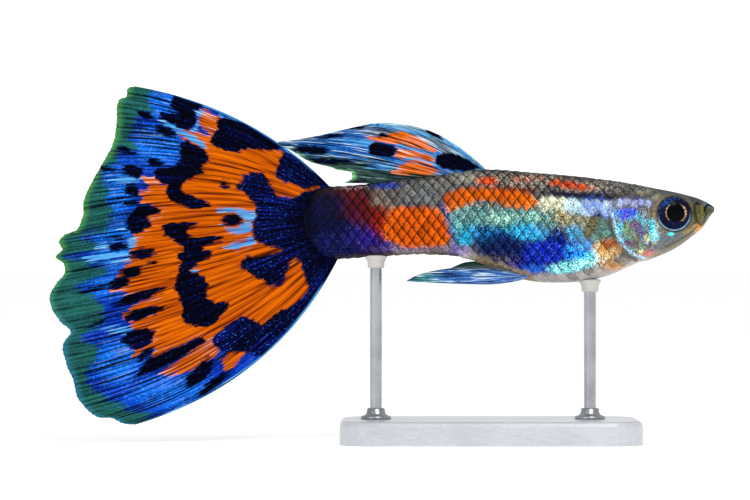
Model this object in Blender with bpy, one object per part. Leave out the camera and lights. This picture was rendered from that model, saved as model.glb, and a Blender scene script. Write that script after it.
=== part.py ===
"""Male fancy guppy at life size, swimming level on a small display stand.

Sizes are millimetres in the model's own frame: +X runs to the snout, +Y to the fish's left, +Z up.
The origin is the middle of the stand's underside. make_object turns millimetres into metres.
"""
import math

import bmesh
import bpy
import numpy as np
from mathutils import Matrix, Vector

MM = 0.001
GAP = 0.3  # clearance between neighbouring pieces

# Trunk and head, as lines seen from the side (x, z) and from above (x, half width)
SNOUT_X = 18.66
STEM_END_X = -15.83
BACK_LINE = [
    (-15.83, 21.46), (-12.67, 21.42), (-10.08, 21.62), (-7.25, 21.96), (-3.75, 22.38), (-0.25, 22.80),
    (3.33, 22.55), (7.08, 22.22), (10.83, 21.75), (13.75, 21.22), (16.25, 20.69), (17.50, 20.31),
    (18.17, 19.98), (18.66, 19.66),
]
BELLY_LINE = [
    (-15.83, 15.23), (-12.67, 15.29), (-9.17, 15.52), (-5.00, 15.69), (-2.50, 15.48), (0.00, 14.65),
    (2.08, 13.77), (3.75, 13.40), (5.67, 13.32), (8.33, 13.52), (10.42, 14.11), (12.50, 15.06),
    (14.00, 15.54), (15.42, 16.19), (16.67, 17.06), (17.67, 17.94), (18.30, 18.80), (18.66, 19.30),
]
HALF_WIDTH_LINE = [
    (-15.83, 0.40), (-12.67, 0.85), (-9.00, 1.20), (-5.00, 1.55), (-1.00, 1.95), (3.00, 2.30),
    (7.00, 2.55), (10.50, 2.50), (13.50, 2.25), (15.50, 2.00), (17.00, 1.60), (18.00, 1.10), (18.66, 0.55),
]
WIDEST_LEVEL_LINE = [(-15.83, 0.50), (-5.00, 0.52), (5.00, 0.52), (12.00, 0.56), (18.66, 0.55)]
BACK_FLATNESS_LINE = [(-15.83, 2.0), (0.00, 2.0), (8.00, 2.3), (13.00, 2.8), (18.66, 2.6)]
BELLY_FLATNESS = 2.0
BODY_RINGS = 56
BODY_SIDES = 32
RING_CROWDING = 1.5  # above 1 the rings crowd towards the snout

# Cut lines between the pieces of the body, top to bottom (x, z)
MOUTH_LINE = [
    (18.25, 21.40), (18.02, 19.90), (17.75, 19.25), (17.45, 18.75), (17.05, 18.10), (16.40, 17.10), (15.90, 15.50),
]
GILL_LINE = [
    (11.10, 24.00), (10.75, 21.50), (10.25, 20.10), (10.10, 18.60), (10.50, 17.00), (11.45, 15.80),
    (12.20, 14.60), (12.60, 12.00),
]
VENT_LINE = [(-3.90, 24.00), (-3.40, 19.00), (-3.90, 13.00)]
FAR = 30.0  # reach of a cutter past the body, seen from the side
CUTTER_REACH = 8.0  # and to each side of it
LIP_HEIGHT = 0.12
LIP_WIDTH = 0.22
LIP_OFFSET = 0.38  # of each lip's crest from the mouth line
LIP_BOTTOM_Z = 18.0

# The rounded end of the tail stem, an ellipse that the tail fin's root follows
HYPURAL_X, HYPURAL_Z = -12.83, 18.50
HYPURAL_LENGTH, HYPURAL_HEIGHT = 2.75, 3.17  # semi-axes

EYE_X, EYE_Z = 15.23, 19.07
EYE_RADIUS = 1.43
EYE_DEPTH = 0.85  # half thickness of the ball across the head
EYE_Y = 1.42
EYE_GAP = 0.25
NOSTRIL_X, NOSTRIL_Z, NOSTRIL_RADIUS = 17.18, 19.92, 0.17

# Fins. A fin is a fan of rays, each one a parabola from the root to the margin, and thickest at its root.
FIN_THICKNESS = 0.50
FIN_TIP_THICKNESS = 0.36
RAY_HEIGHT = 0.28  # that a ray adds to the membrane's thickness
COLUMNS_PER_RAY = 4
FIN_CREASE = 12.0  # degrees, so that the rays show on a smooth-shaded fin

TAIL_ROOT_TURN = (72.0, -90.0)  # degrees round the hypural ellipse, first ray to last
TAIL_RAY_TURN = (45.0, -62.5)  # degrees above straight back at the root
TAIL_RAY_REACH = (0.50, 0.53)  # where the bend lies along a ray
TAIL_MARGIN = [
    (-29.67, 29.75), (-30.25, 29.58), (-30.42, 28.85), (-31.00, 28.62), (-31.15, 27.90), (-31.20, 26.60),
    (-31.45, 25.10), (-32.35, 23.30), (-33.20, 21.70), (-33.85, 20.20), (-33.95, 18.90), (-34.70, 17.55),
    (-35.55, 17.30), (-36.00, 16.75), (-35.70, 16.10), (-36.25, 15.50), (-35.60, 14.95), (-35.50, 14.25),
    (-36.20, 13.30), (-36.78, 12.30), (-36.70, 11.40), (-36.00, 10.20), (-35.02, 9.15), (-35.60, 8.30),
    (-35.40, 6.80), (-34.75, 5.10), (-34.50, 3.90), (-33.70, 2.80), (-32.75, 2.12), (-31.60, 2.05),
    (-30.70, 1.62), (-29.67, 1.50),
]
TAIL_RAYS = 22
TAIL_ROWS = 12
TAIL_ROOT_THICKNESS = 0.84

DORSAL_ROOT = [(-0.45, 23.16), (-1.40, 23.02), (-2.60, 22.88), (-4.00, 22.70), (-5.20, 22.55)]
DORSAL_RAY_TURN = (44.0, -4.0)
DORSAL_RAY_REACH = (0.50, 0.45)
DORSAL_MARGIN = [
    (-8.80, 26.50), (-10.50, 26.46), (-12.50, 26.02), (-14.60, 25.50), (-16.60, 25.18), (-17.75, 24.98),
    (-16.60, 24.35), (-15.20, 23.50), (-13.20, 22.95), (-11.55, 22.48), (-11.45, 22.22), (-12.10, 21.98),
]
DORSAL_RAYS = 9
DORSAL_ROWS = 11
DORSAL_ROOT_THICKNESS = 0.6
DORSAL_TIP_SWAY = -1.25  # the tip passes the tail fin on the fish's right side
DORSAL_SWAY_START_X = -8.0
DORSAL_SWAY_END_X = -15.5

PECTORAL_ROOT = [(9.72, 18.45), (9.62, 17.95), (9.42, 17.45)]
PECTORAL_RAY_TURN = (14.0, -42.0)
PECTORAL_RAY_REACH = (0.5, 0.5)
PECTORAL_MARGIN = [(6.20, 19.10), (5.75, 18.20), (5.95, 17.10), (6.70, 16.20), (7.60, 15.80)]
PECTORAL_RAYS = 8
PECTORAL_ROWS = 6
PECTORAL_SPREAD = 0.42  # outward run for each millimetre back from the root

PELVIC_ROOT = [(2.55, 13.58), (2.85, 13.46), (3.15, 13.36)]
PELVIC_RAY_TURN = (24.0, -14.0)
PELVIC_RAY_REACH = (0.5, 0.3)
PELVIC_MARGIN = [(-2.90, 14.62), (-4.30, 14.42), (-5.60, 14.15), (-6.45, 13.85), (-7.00, 13.56), (-5.20, 13.68)]
PELVIC_RAYS = 6
PELVIC_ROWS = 7
PELVIC_Y = 0.92
PELVIC_SPREAD = 0.06

ANAL_ROOT = [(0.75, 13.98), (1.25, 13.76), (1.85, 13.50)]
ANAL_RAY_TURN = (27.0, 12.0)
ANAL_RAY_REACH = (0.5, 0.5)
ANAL_MARGIN = [(-2.20, 15.00), (-2.75, 14.80), (-3.35, 14.45), (-3.10, 14.20)]
ANAL_RAYS = 4
ANAL_ROWS = 8
ANAL_BOW = 0.1  # that its middle stands to the fish's left

# Stand
BASE_LENGTH, BASE_WIDTH, BASE_HEIGHT = 25.0, 15.0, 2.0
BASE_CORNER, BASE_BEVEL = 3.0, 0.4
ROD_RADIUS = 0.5
ROD_SOCKET_DEPTH = 1.2
FRONT_ROD_X, REAR_ROD_X = 8.33, -9.50


def curve_through(points):
    """A smooth function of x through points given in rising x."""
    xs, ys = np.array(sorted(points), float).T
    slopes = np.gradient(ys, xs)

    def value(x):
        i = np.clip(np.searchsorted(xs, x) - 1, 0, len(xs) - 2)
        width = xs[i + 1] - xs[i]
        t = (np.clip(x, xs[0], xs[-1]) - xs[i]) / width
        rise = (ys[i + 1] - ys[i]) * (3 * t**2 - 2 * t**3)
        bend = width * (slopes[i] * (t - 2 * t**2 + t**3) + slopes[i + 1] * (t**3 - t**2))
        return float(ys[i] + rise + bend)

    return value


def path_through(points):
    """A smooth path through points in the side view, as a function of the share of its length."""
    at = np.array(points, float)
    along = np.concatenate([[0.0], np.cumsum(np.linalg.norm(np.diff(at, axis=0), axis=1))])
    axes = [curve_through(list(zip(along / along[-1], at[:, k]))) for k in (0, 1)]
    return lambda share: np.array([axis(share) for axis in axes])


back_z = curve_through(BACK_LINE)
belly_z = curve_through(BELLY_LINE)
half_width = curve_through(HALF_WIDTH_LINE)
widest_level = curve_through(WIDEST_LEVEL_LINE)
back_flatness = curve_through(BACK_FLATNESS_LINE)


def mix(pair, share):
    return pair[0] + (pair[1] - pair[0]) * share


def ease(start, end, x):
    t = min(max((x - start) / (end - start), 0.0), 1.0)
    return t * t * (3 - 2 * t)


def distance_to_line(point, line):
    """Signed distance in the side view, positive in front of a line given from top to bottom."""
    best = None
    for a, b in zip(line, line[1:]):
        a, run = np.array(a), np.array(b) - np.array(a)
        t = min(max(float(np.dot(point - a, run) / np.dot(run, run)), 0.0), 1.0)
        away = point - a - t * run
        side = 1.0 if run[0] * away[1] - run[1] * away[0] > 0 else -1.0
        far = float(np.linalg.norm(away))
        if best is None or far < abs(best):
            best = side * far
    return best


def lip_swell(x, z):
    """How far the upper and lower lip stand out of the snout."""
    if x < MOUTH_LINE[-1][0] or z < LIP_BOTTOM_Z - 1:
        return 0.0
    from_crest = abs(distance_to_line(np.array([x, z]), MOUTH_LINE)) - LIP_OFFSET
    fade = ease(LIP_BOTTOM_Z - 1, LIP_BOTTOM_Z + 0.4, z)
    return LIP_HEIGHT * fade * math.exp(-((from_crest / LIP_WIDTH) ** 2))


def body_point(x, turn):
    """A point on the body at x, turn radians round the section from the fish's left side over its back."""
    low, high = belly_z(x), back_z(x)
    middle = low + widest_level(x) * (high - low)
    up = math.sin(turn) >= 0
    power = 2 / (back_flatness(x) if up else BELLY_FLATNESS)
    across = math.copysign(abs(math.cos(turn)) ** power, math.cos(turn)) * half_width(x)
    height = abs(math.sin(turn)) ** power * ((high - middle) if up else (low - middle))
    out = 1 + lip_swell(x, middle + height) / max(half_width(x), 0.5)
    return Vector((x, across * out, middle + height * out))


def side_y(x, z):
    """Half width of the body at the place (x, z) of the side view."""
    low, high = belly_z(x), back_z(x)
    middle = low + widest_level(x) * (high - low)
    flatness = back_flatness(x) if z > middle else BELLY_FLATNESS
    share = abs(z - middle) / (high - middle if z > middle else middle - low)
    return half_width(x) * max(0.0, 1 - min(share, 1.0) ** flatness) ** (1 / flatness)


def new_material(name, colour, roughness, metallic=0.0):
    material = bpy.data.materials.new(name)
    material.use_nodes = True
    shader = material.node_tree.nodes["Principled BSDF"]
    shader.inputs["Base Color"].default_value = (*colour, 1.0)
    shader.inputs["Roughness"].default_value = roughness
    shader.inputs["Metallic"].default_value = metallic
    return material


def make_object(name, bm, collection, material=None, crease=40.0):
    """A mesh object from a bmesh in millimetres, with edges over crease degrees drawn sharp."""
    bmesh.ops.recalc_face_normals(bm, faces=bm.faces)
    bmesh.ops.scale(bm, vec=(MM, MM, MM), verts=bm.verts)
    mesh = bpy.data.meshes.new(name)
    bm.to_mesh(mesh)
    bm.free()
    mesh.shade_smooth()
    mesh.set_sharp_from_angle(angle=math.radians(crease))
    if material:
        mesh.materials.append(material)
    made = bpy.data.objects.new(name, mesh)
    collection.objects.link(made)
    return made


def flat_outline(name, points, half_thickness, collection):
    """A mesh plate standing in the side view, from a filled 2D curve through points (x, z)."""
    curve = bpy.data.curves.new(name, "CURVE")
    curve.dimensions = "2D"
    curve.fill_mode = "BOTH"
    curve.extrude = half_thickness * MM
    spline = curve.splines.new("POLY")
    spline.points.add(len(points) - 1)
    for point, (x, z) in zip(spline.points, points):
        point.co = (x * MM, z * MM, 0.0, 1.0)
    spline.use_cyclic_u = True
    outline = bpy.data.objects.new(name + "_outline", curve)
    outline.rotation_euler = (math.pi / 2, 0.0, 0.0)
    collection.objects.link(outline)
    bpy.context.view_layer.update()
    graph = bpy.context.evaluated_depsgraph_get()
    mesh = bpy.data.meshes.new_from_object(outline.evaluated_get(graph))
    plate = bpy.data.objects.new(name, mesh)
    plate.matrix_world = outline.matrix_world
    collection.objects.link(plate)
    bpy.data.objects.remove(outline)
    bm = bmesh.new()
    bm.from_mesh(mesh)
    bmesh.ops.remove_doubles(bm, verts=bm.verts, dist=1e-7)
    bmesh.ops.recalc_face_normals(bm, faces=bm.faces)
    bm.to_mesh(mesh)
    bm.free()
    return plate


def hide_as_cutter(made):
    made.hide_render = True
    made.display_type = "WIRE"
    return made


def body_mesh():
    """The whole body as one loft of rings, snout to the end of the tail stem."""
    bm = bmesh.new()
    rings = []
    for i in range(BODY_RINGS):
        crowded = 1 - (1 - i / (BODY_RINGS - 1)) ** RING_CROWDING
        x = STEM_END_X + (SNOUT_X - STEM_END_X) * crowded
        turns = [2 * math.pi * k / BODY_SIDES for k in range(BODY_SIDES)]
        rings.append([bm.verts.new(body_point(x, turn)) for turn in turns])
    for near, far in zip(rings, rings[1:]):
        for k in range(BODY_SIDES):
            after = (k + 1) % BODY_SIDES
            bm.faces.new((near[k], near[after], far[after], far[k]))
    for ring, bulge in ((rings[0], -0.02), (rings[-1], 0.06)):
        middle = sum((v.co for v in ring), Vector()) / len(ring)
        tip = bm.verts.new(middle + Vector((bulge, 0.0, 0.0)))
        for k in range(BODY_SIDES):
            bm.faces.new((ring[k], ring[(k + 1) % BODY_SIDES], tip))
    return bm


def region_cutter(name, line, towards, shift, collection):
    """Everything before (towards 1) or behind (towards -1) a cut line, drawn back from it by half the gap."""
    moved = [(x + shift, z) for x, z in line]
    above, below = (moved[0][0], FAR), (moved[-1][0], 0.0)
    far = towards * FAR
    points = [above, *moved, below, (far, 0.0), (far, FAR)]
    return hide_as_cutter(flat_outline(name, points, CUTTER_REACH, collection))


def hypural_point(turn, extra):
    """A point on the stem's rounded end, turn degrees above straight back, extra outside it."""
    angle = math.radians(turn)
    x = HYPURAL_X - (HYPURAL_LENGTH + extra) * math.cos(angle)
    return x, HYPURAL_Z + (HYPURAL_HEIGHT + extra) * math.sin(angle)


def ball_cutter(name, place, size, collection, across=None):
    bm = bmesh.new()
    bmesh.ops.create_uvsphere(bm, u_segments=20, v_segments=12, radius=1.0)
    bmesh.ops.rotate(bm, matrix=Matrix.Rotation(math.pi / 2, 3, "X"), verts=bm.verts)
    bmesh.ops.scale(bm, vec=(size, across or size, size), verts=bm.verts)
    bmesh.ops.translate(bm, vec=place, verts=bm.verts)
    return hide_as_cutter(make_object(name, bm, collection))


def cut(made, cutters):
    for cutter in cutters:
        modifier = made.modifiers.new("cut_" + cutter.name, "BOOLEAN")
        modifier.operation = "DIFFERENCE"
        modifier.object = cutter


def make_body(parts, cutters, materials):
    """Head, lower jaw, trunk and tail stem: copies of one loft, parted by thin cuts."""
    half = GAP / 2
    before_mouth = region_cutter("before_mouth", MOUTH_LINE, 1, -half, cutters)
    behind_mouth = region_cutter("behind_mouth", MOUTH_LINE, -1, half, cutters)
    before_gill = region_cutter("before_gill", GILL_LINE, 1, -half, cutters)
    behind_gill = region_cutter("behind_gill", GILL_LINE, -1, half, cutters)
    before_vent = region_cutter("before_vent", VENT_LINE, 1, -half, cutters)
    behind_vent = region_cutter("behind_vent", VENT_LINE, -1, half, cutters)
    turns = np.linspace(90, -90, 25)
    stem_line = [hypural_point(turn, 0.0) for turn in turns]
    behind_stem = region_cutter("behind_stem", stem_line, -1, 0.0, cutters)
    sockets = []
    for side, name in ((1, "left"), (-1, "right")):
        eye_place = (EYE_X, side * EYE_Y, EYE_Z)
        socket_size, socket_depth = EYE_RADIUS + EYE_GAP, EYE_DEPTH + EYE_GAP
        sockets.append(ball_cutter("socket_" + name, eye_place, socket_size, cutters, socket_depth))
        nostril_y = side * side_y(NOSTRIL_X, NOSTRIL_Z)
        nostril_place = (NOSTRIL_X, nostril_y, NOSTRIL_Z)
        sockets.append(ball_cutter("nostril_pit_" + name, nostril_place, NOSTRIL_RADIUS, cutters))
    pieces = {
        "head": ([behind_gill, before_mouth, *sockets], "head_skin"),
        "lower_jaw": ([behind_mouth], "head_skin"),
        "trunk": ([before_gill, behind_vent], "trunk_skin"),
        "tail_stem": ([before_vent, behind_stem], "stem_skin"),
    }
    for name, (cut_by, slot) in pieces.items():
        cut(make_object(name, body_mesh(), parts, materials[slot]), cut_by)


def make_eye(name, side, parts, material):
    bm = bmesh.new()
    bmesh.ops.create_uvsphere(bm, u_segments=20, v_segments=12, radius=1.0)
    bmesh.ops.rotate(bm, matrix=Matrix.Rotation(math.pi / 2, 3, "X"), verts=bm.verts)
    bmesh.ops.scale(bm, vec=(EYE_RADIUS, EYE_DEPTH, EYE_RADIUS), verts=bm.verts)
    bmesh.ops.translate(bm, vec=(EYE_X, side * EYE_Y, EYE_Z), verts=bm.verts)
    make_object(name, bm, parts, material)


def fan(root, margin, ray_turn, ray_reach, sway):
    """The middle surface of a fin: u runs over the rays from first to last, v from root to margin."""
    edge = path_through(margin)

    def place(u, v):
        start, end = np.array(root(u)), edge(u)
        turn = math.radians(mix(ray_turn, u))
        reach = mix(ray_reach, u) * np.linalg.norm(end - start)
        bend = start + reach * np.array([-math.cos(turn), math.sin(turn)])
        x, z = (1 - v) ** 2 * start + 2 * v * (1 - v) * bend + v**2 * end
        return Vector((x, sway(u, v, x), z))

    return place


def ray_ridge(u, v, rays):
    """0 in the membrane and 1 on a ray, which splits in two on its way to the margin."""
    whole = 0.5 - 0.5 * math.cos(2 * math.pi * u * rays)
    split = 0.5 - 0.5 * math.cos(4 * math.pi * u * rays)
    forked = ease(0.45, 0.7, v)
    return whole * (1 - forked) + 0.9 * split * forked


def fin_mesh(place, rays, rows, root_thickness):
    """A fin as one closed sheet, its rays raised in both faces, with the same triangles on each."""
    columns = rays * COLUMNS_PER_RAY
    step = 1e-3
    bm = bmesh.new()
    faces = ([], [])
    for j in range(rows + 1):
        v = j / rows
        for i in range(columns + 1):
            u = i / columns
            along_u = place(min(u + step, 1.0), v) - place(max(u - step, 0.0), v)
            along_v = place(u, min(v + step, 1.0)) - place(u, max(v - step, 0.0))
            normal = along_v.cross(along_u).normalized()
            thickness = mix((root_thickness, FIN_THICKNESS), ease(0.0, 0.22, v))
            thickness += (FIN_TIP_THICKNESS - FIN_THICKNESS) * ease(0.75, 1.0, v)
            thickness += RAY_HEIGHT * ray_ridge(u, v, rays) * ease(0.0, 0.12, v) * (1 - 0.3 * v)
            for side, face in zip((0.5, -0.5), faces):
                face.append(bm.verts.new(place(u, v) + side * thickness * normal))
    wide = columns + 1
    for j in range(rows):
        for i in range(columns):
            a, b = j * wide + i, j * wide + i + 1
            c, d = b + wide, a + wide
            for near, far, last in ((a, b, c), (a, c, d)):
                bm.faces.new((faces[0][near], faces[0][far], faces[0][last]))
                bm.faces.new((faces[1][last], faces[1][far], faces[1][near]))
    rim = [i for i in range(wide)] + [j * wide + columns for j in range(1, rows + 1)]
    rim += [rows * wide + i for i in range(columns - 1, -1, -1)] + [j * wide for j in range(rows - 1, 0, -1)]
    for near, far in zip(rim, rim[1:] + rim[:1]):
        bm.faces.new((faces[0][far], faces[0][near], faces[1][near], faces[1][far]))
    return bm


def tail_sway(u, v, x):
    """The tail fin's soft folds, deepest at the margin."""
    waves = 0.55 * math.sin(2 * math.pi * (2.1 * u + 0.1)) + 0.3 * math.sin(2 * math.pi * (4.6 * u + 0.35))
    crease = -0.45 * math.exp(-(((u - 0.47) / 0.035) ** 2)) + 0.35 * math.exp(-(((u - 0.685) / 0.03) ** 2))
    return (waves + crease) * v**1.6


def make_tail_fin(parts, material):
    def root(u):
        return hypural_point(mix(TAIL_ROOT_TURN, u), GAP)

    surface = fan(root, TAIL_MARGIN, TAIL_RAY_TURN, TAIL_RAY_REACH, tail_sway)
    bm = fin_mesh(surface, TAIL_RAYS, TAIL_ROWS, TAIL_ROOT_THICKNESS)
    make_object("tail_fin", bm, parts, material, FIN_CREASE)


def make_dorsal_fin(parts, material):
    def sway(u, v, x):
        ripple = 0.22 * math.sin(2 * math.pi * 1.6 * u) * v
        return ripple + DORSAL_TIP_SWAY * ease(DORSAL_SWAY_START_X, DORSAL_SWAY_END_X, x)

    surface = fan(path_through(DORSAL_ROOT), DORSAL_MARGIN, DORSAL_RAY_TURN, DORSAL_RAY_REACH, sway)
    bm = fin_mesh(surface, DORSAL_RAYS, DORSAL_ROWS, DORSAL_ROOT_THICKNESS)
    make_object("dorsal_fin", bm, parts, material, FIN_CREASE)


def make_anal_fin(parts, material):
    def sway(u, v, x):
        return ANAL_BOW * math.sin(math.pi * v) * math.sin(math.pi * (0.15 + 0.7 * u))

    surface = fan(path_through(ANAL_ROOT), ANAL_MARGIN, ANAL_RAY_TURN, ANAL_RAY_REACH, sway)
    bm = fin_mesh(surface, ANAL_RAYS, ANAL_ROWS, FIN_THICKNESS)
    make_object("anal_fin", bm, parts, material, FIN_CREASE)


def make_pectoral_fin(name, side, parts, material):
    root_x, root_z = PECTORAL_ROOT[1]
    out = side_y(root_x, root_z) + GAP + FIN_THICKNESS / 2

    def sway(u, v, x):
        return side * (out + PECTORAL_SPREAD * (root_x - x) + 0.12 * math.sin(math.pi * v))

    surface = fan(path_through(PECTORAL_ROOT), PECTORAL_MARGIN, PECTORAL_RAY_TURN, PECTORAL_RAY_REACH, sway)
    bm = fin_mesh(surface, PECTORAL_RAYS, PECTORAL_ROWS, FIN_THICKNESS)
    make_object(name, bm, parts, material, FIN_CREASE)


def make_pelvic_fin(name, side, parts, material):
    def sway(u, v, x):
        return side * (PELVIC_Y + PELVIC_SPREAD * (PELVIC_ROOT[-1][0] - x))

    surface = fan(path_through(PELVIC_ROOT), PELVIC_MARGIN, PELVIC_RAY_TURN, PELVIC_RAY_REACH, sway)
    bm = fin_mesh(surface, PELVIC_RAYS, PELVIC_ROWS, FIN_THICKNESS)
    make_object(name, bm, parts, material, FIN_CREASE)


def cylinder_mesh(x, low, high, radius):
    bm = bmesh.new()
    bmesh.ops.create_cone(bm, cap_ends=True, segments=24, radius1=radius, radius2=radius, depth=high - low)
    bmesh.ops.translate(bm, vec=(x, 0.0, (low + high) / 2), verts=bm.verts)
    return bm


def make_stand(parts, cutters, materials):
    """A flat base with a blind hole for each of two rods, which end just under the belly and the tail stem."""
    bm = bmesh.new()
    bmesh.ops.create_cube(bm, size=1.0)
    bmesh.ops.scale(bm, vec=(BASE_LENGTH, BASE_WIDTH, BASE_HEIGHT), verts=bm.verts)
    bmesh.ops.translate(bm, vec=(0.0, 0.0, BASE_HEIGHT / 2), verts=bm.verts)
    upright = [e for e in bm.edges if abs(e.verts[0].co.z - e.verts[1].co.z) > 0.5]
    bmesh.ops.bevel(bm, geom=upright, offset=BASE_CORNER, segments=6, profile=0.5, affect="EDGES")
    top_rim = [e for e in bm.edges if all(v.co.z > BASE_HEIGHT - 1e-6 for v in e.verts)]
    bmesh.ops.bevel(bm, geom=top_rim, offset=BASE_BEVEL, segments=2, profile=0.5, affect="EDGES")
    base = make_object("stand_base", bm, parts, materials["stand_base"])
    holes = []
    for name, x in (("front", FRONT_ROD_X), ("rear", REAR_ROD_X)):
        floor = BASE_HEIGHT - ROD_SOCKET_DEPTH
        hole = cylinder_mesh(x, floor, BASE_HEIGHT + 1.0, ROD_RADIUS + GAP)
        holes.append(hide_as_cutter(make_object("rod_hole_" + name, hole, cutters)))
        rod = cylinder_mesh(x, floor + GAP, belly_z(x) - GAP, ROD_RADIUS)
        make_object("stand_rod_" + name, rod, parts, materials["stand_rod"])
    cut(base, holes)


def main():
    for old in list(bpy.data.objects):
        bpy.data.objects.remove(old)
    parts = bpy.data.collections.new("fancy_guppy")
    cutters = bpy.data.collections.new("cutters")
    for collection in (parts, cutters):
        bpy.context.scene.collection.children.link(collection)
    materials = {
        "head_skin": new_material("head_skin", (0.36, 0.34, 0.26), 0.35),
        "trunk_skin": new_material("trunk_skin", (0.22, 0.42, 0.52), 0.3),
        "stem_skin": new_material("stem_skin", (0.55, 0.20, 0.10), 0.35),
        "eye": new_material("eye", (0.02, 0.03, 0.09), 0.08),
        "tail_fin": new_material("tail_fin", (0.85, 0.36, 0.04), 0.4),
        "dorsal_fin": new_material("dorsal_fin", (0.25, 0.42, 0.62), 0.4),
        "clear_fin": new_material("clear_fin", (0.70, 0.72, 0.66), 0.35),
        "ventral_fin": new_material("ventral_fin", (0.20, 0.40, 0.70), 0.4),
        "stand_base": new_material("stand_base", (0.80, 0.81, 0.82), 0.3),
        "stand_rod": new_material("stand_rod", (0.62, 0.63, 0.65), 0.25, 1.0),
    }
    make_body(parts, cutters, materials)
    make_tail_fin(parts, materials["tail_fin"])
    make_dorsal_fin(parts, materials["dorsal_fin"])
    make_anal_fin(parts, materials["ventral_fin"])
    for side, name in ((1, "left"), (-1, "right")):
        make_eye("eye_" + name, side, parts, materials["eye"])
        make_pectoral_fin("pectoral_fin_" + name, side, parts, materials["clear_fin"])
        make_pelvic_fin("pelvic_fin_" + name, side, parts, materials["ventral_fin"])
    make_stand(parts, cutters, materials)


main()
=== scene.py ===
import math

import bpy
import numpy as np
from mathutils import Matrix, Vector


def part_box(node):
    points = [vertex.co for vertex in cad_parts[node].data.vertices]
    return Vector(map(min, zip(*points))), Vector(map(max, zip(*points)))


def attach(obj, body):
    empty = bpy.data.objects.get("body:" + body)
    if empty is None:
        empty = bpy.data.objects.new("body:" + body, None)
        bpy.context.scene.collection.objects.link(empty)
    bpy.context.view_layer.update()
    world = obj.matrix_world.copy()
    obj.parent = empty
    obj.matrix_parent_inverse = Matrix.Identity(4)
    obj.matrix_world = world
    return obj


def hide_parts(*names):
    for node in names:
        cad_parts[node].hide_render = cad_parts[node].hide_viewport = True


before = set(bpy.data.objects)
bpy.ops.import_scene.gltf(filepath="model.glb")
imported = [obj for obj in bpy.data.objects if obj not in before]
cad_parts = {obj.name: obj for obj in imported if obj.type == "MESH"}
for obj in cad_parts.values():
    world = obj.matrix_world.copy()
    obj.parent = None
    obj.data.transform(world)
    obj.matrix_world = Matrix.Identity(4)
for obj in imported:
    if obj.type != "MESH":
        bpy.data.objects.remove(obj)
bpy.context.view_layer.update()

# Stand base: a small slab of cast acrylic, tinted pale grey, sawn and rounded at its
# corners and edges, then rubbed lengthwise to a satin face; the rods are glued in it.
MM = 0.001


def seen(red, green, blue):
    """A colour as the eye reads it, 0 to 255, turned into the light it stands for."""
    parts = [c / 255 for c in (red, green, blue)]
    return tuple(((c + 0.055) / 1.055) ** 2.4 if c > 0.04 else c / 12.92 for c in parts) + (1.0,)


class Value:
    """A value inside one material; arithmetic on it makes the nodes."""

    def __init__(self, tree, socket=None):
        self.tree, self.socket = tree, socket

    def put(self, made, sockets):
        """Sets a node's sockets: a Value is linked, anything else is a constant."""
        for key, value in sockets.items():
            if isinstance(value, Value):
                self.tree.links.new(value.socket, made.inputs[key])
            else:
                made.inputs[key].default_value = value

    def node(self, kind, settings, sockets, output=0):
        """Any node: its type, its settings, and the values or links of its sockets."""
        made = self.tree.nodes.new(kind)
        for key, setting in settings.items():
            setattr(made, key, setting)
        self.put(made, sockets)
        return Value(self.tree, made.outputs[output])

    def maths(self, operation, *others):
        """One step of arithmetic on this value and others."""
        sockets = dict(enumerate((self,) + others))
        return self.node("ShaderNodeMath", {"operation": operation}, sockets)

    def __add__(self, other):
        return self.maths("ADD", other)

    def __mul__(self, other):
        return self.maths("MULTIPLY", other)

    def __sub__(self, other):
        return self.maths("SUBTRACT", other)

    def __rsub__(self, other):
        return self.maths("MULTIPLY", -1.0) + other

    __radd__, __rmul__ = __add__, __mul__

    def ease(self, low, high, start=0.0, end=1.0):
        """A smooth step of this value from start at low to end at high."""
        sockets = {0: self, 1: low, 2: high, 3: start, 4: end}
        return self.node("ShaderNodeMapRange", {"interpolation_type": "SMOOTHSTEP"}, sockets)

    def mix(self, low, high):
        """A colour from low to high by this value."""
        return self.node("ShaderNodeMix", {"data_type": "RGBA"}, {0: self, 6: low, 7: high}, 2)

    def shade(self, share):
        """This colour made darker or lighter by a share."""
        return self.node("ShaderNodeVectorMath", {"operation": "SCALE"}, {0: self, "Scale": share})

    def own(self, name, output="Fac"):
        """A value kept on the mesh's own points."""
        return self.node("ShaderNodeAttribute", {"attribute_name": name}, {}, output)

    def place(self):
        """Places on the piece, in metres."""
        return self.node("ShaderNodeTexCoord", {}, {}, "Object")

    def noise(self, where, scale, detail=2.0, roughness=0.5):
        """Cloudy noise about 0.5; the scale is in waves to a unit of place."""
        sockets = {"Vector": where, "Scale": scale, "Detail": detail, "Roughness": roughness}
        return self.node("ShaderNodeTexNoise", {}, sockets)

    def bump(self, height, distance, strength):
        """Fine relief of the surface, as deep as the distance in metres."""
        sockets = {"Height": height, "Distance": distance, "Strength": strength}
        return self.node("ShaderNodeBump", {}, sockets)

    def surface(self, sockets):
        """Sets the sockets of the material's surface."""
        self.put(self.tree.nodes["Principled BSDF"], sockets)


def new_material(name):
    """A material, and the Value that makes its nodes."""
    made = bpy.data.materials.new(name)
    made.use_nodes = True
    return made, Value(made.node_tree)


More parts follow.
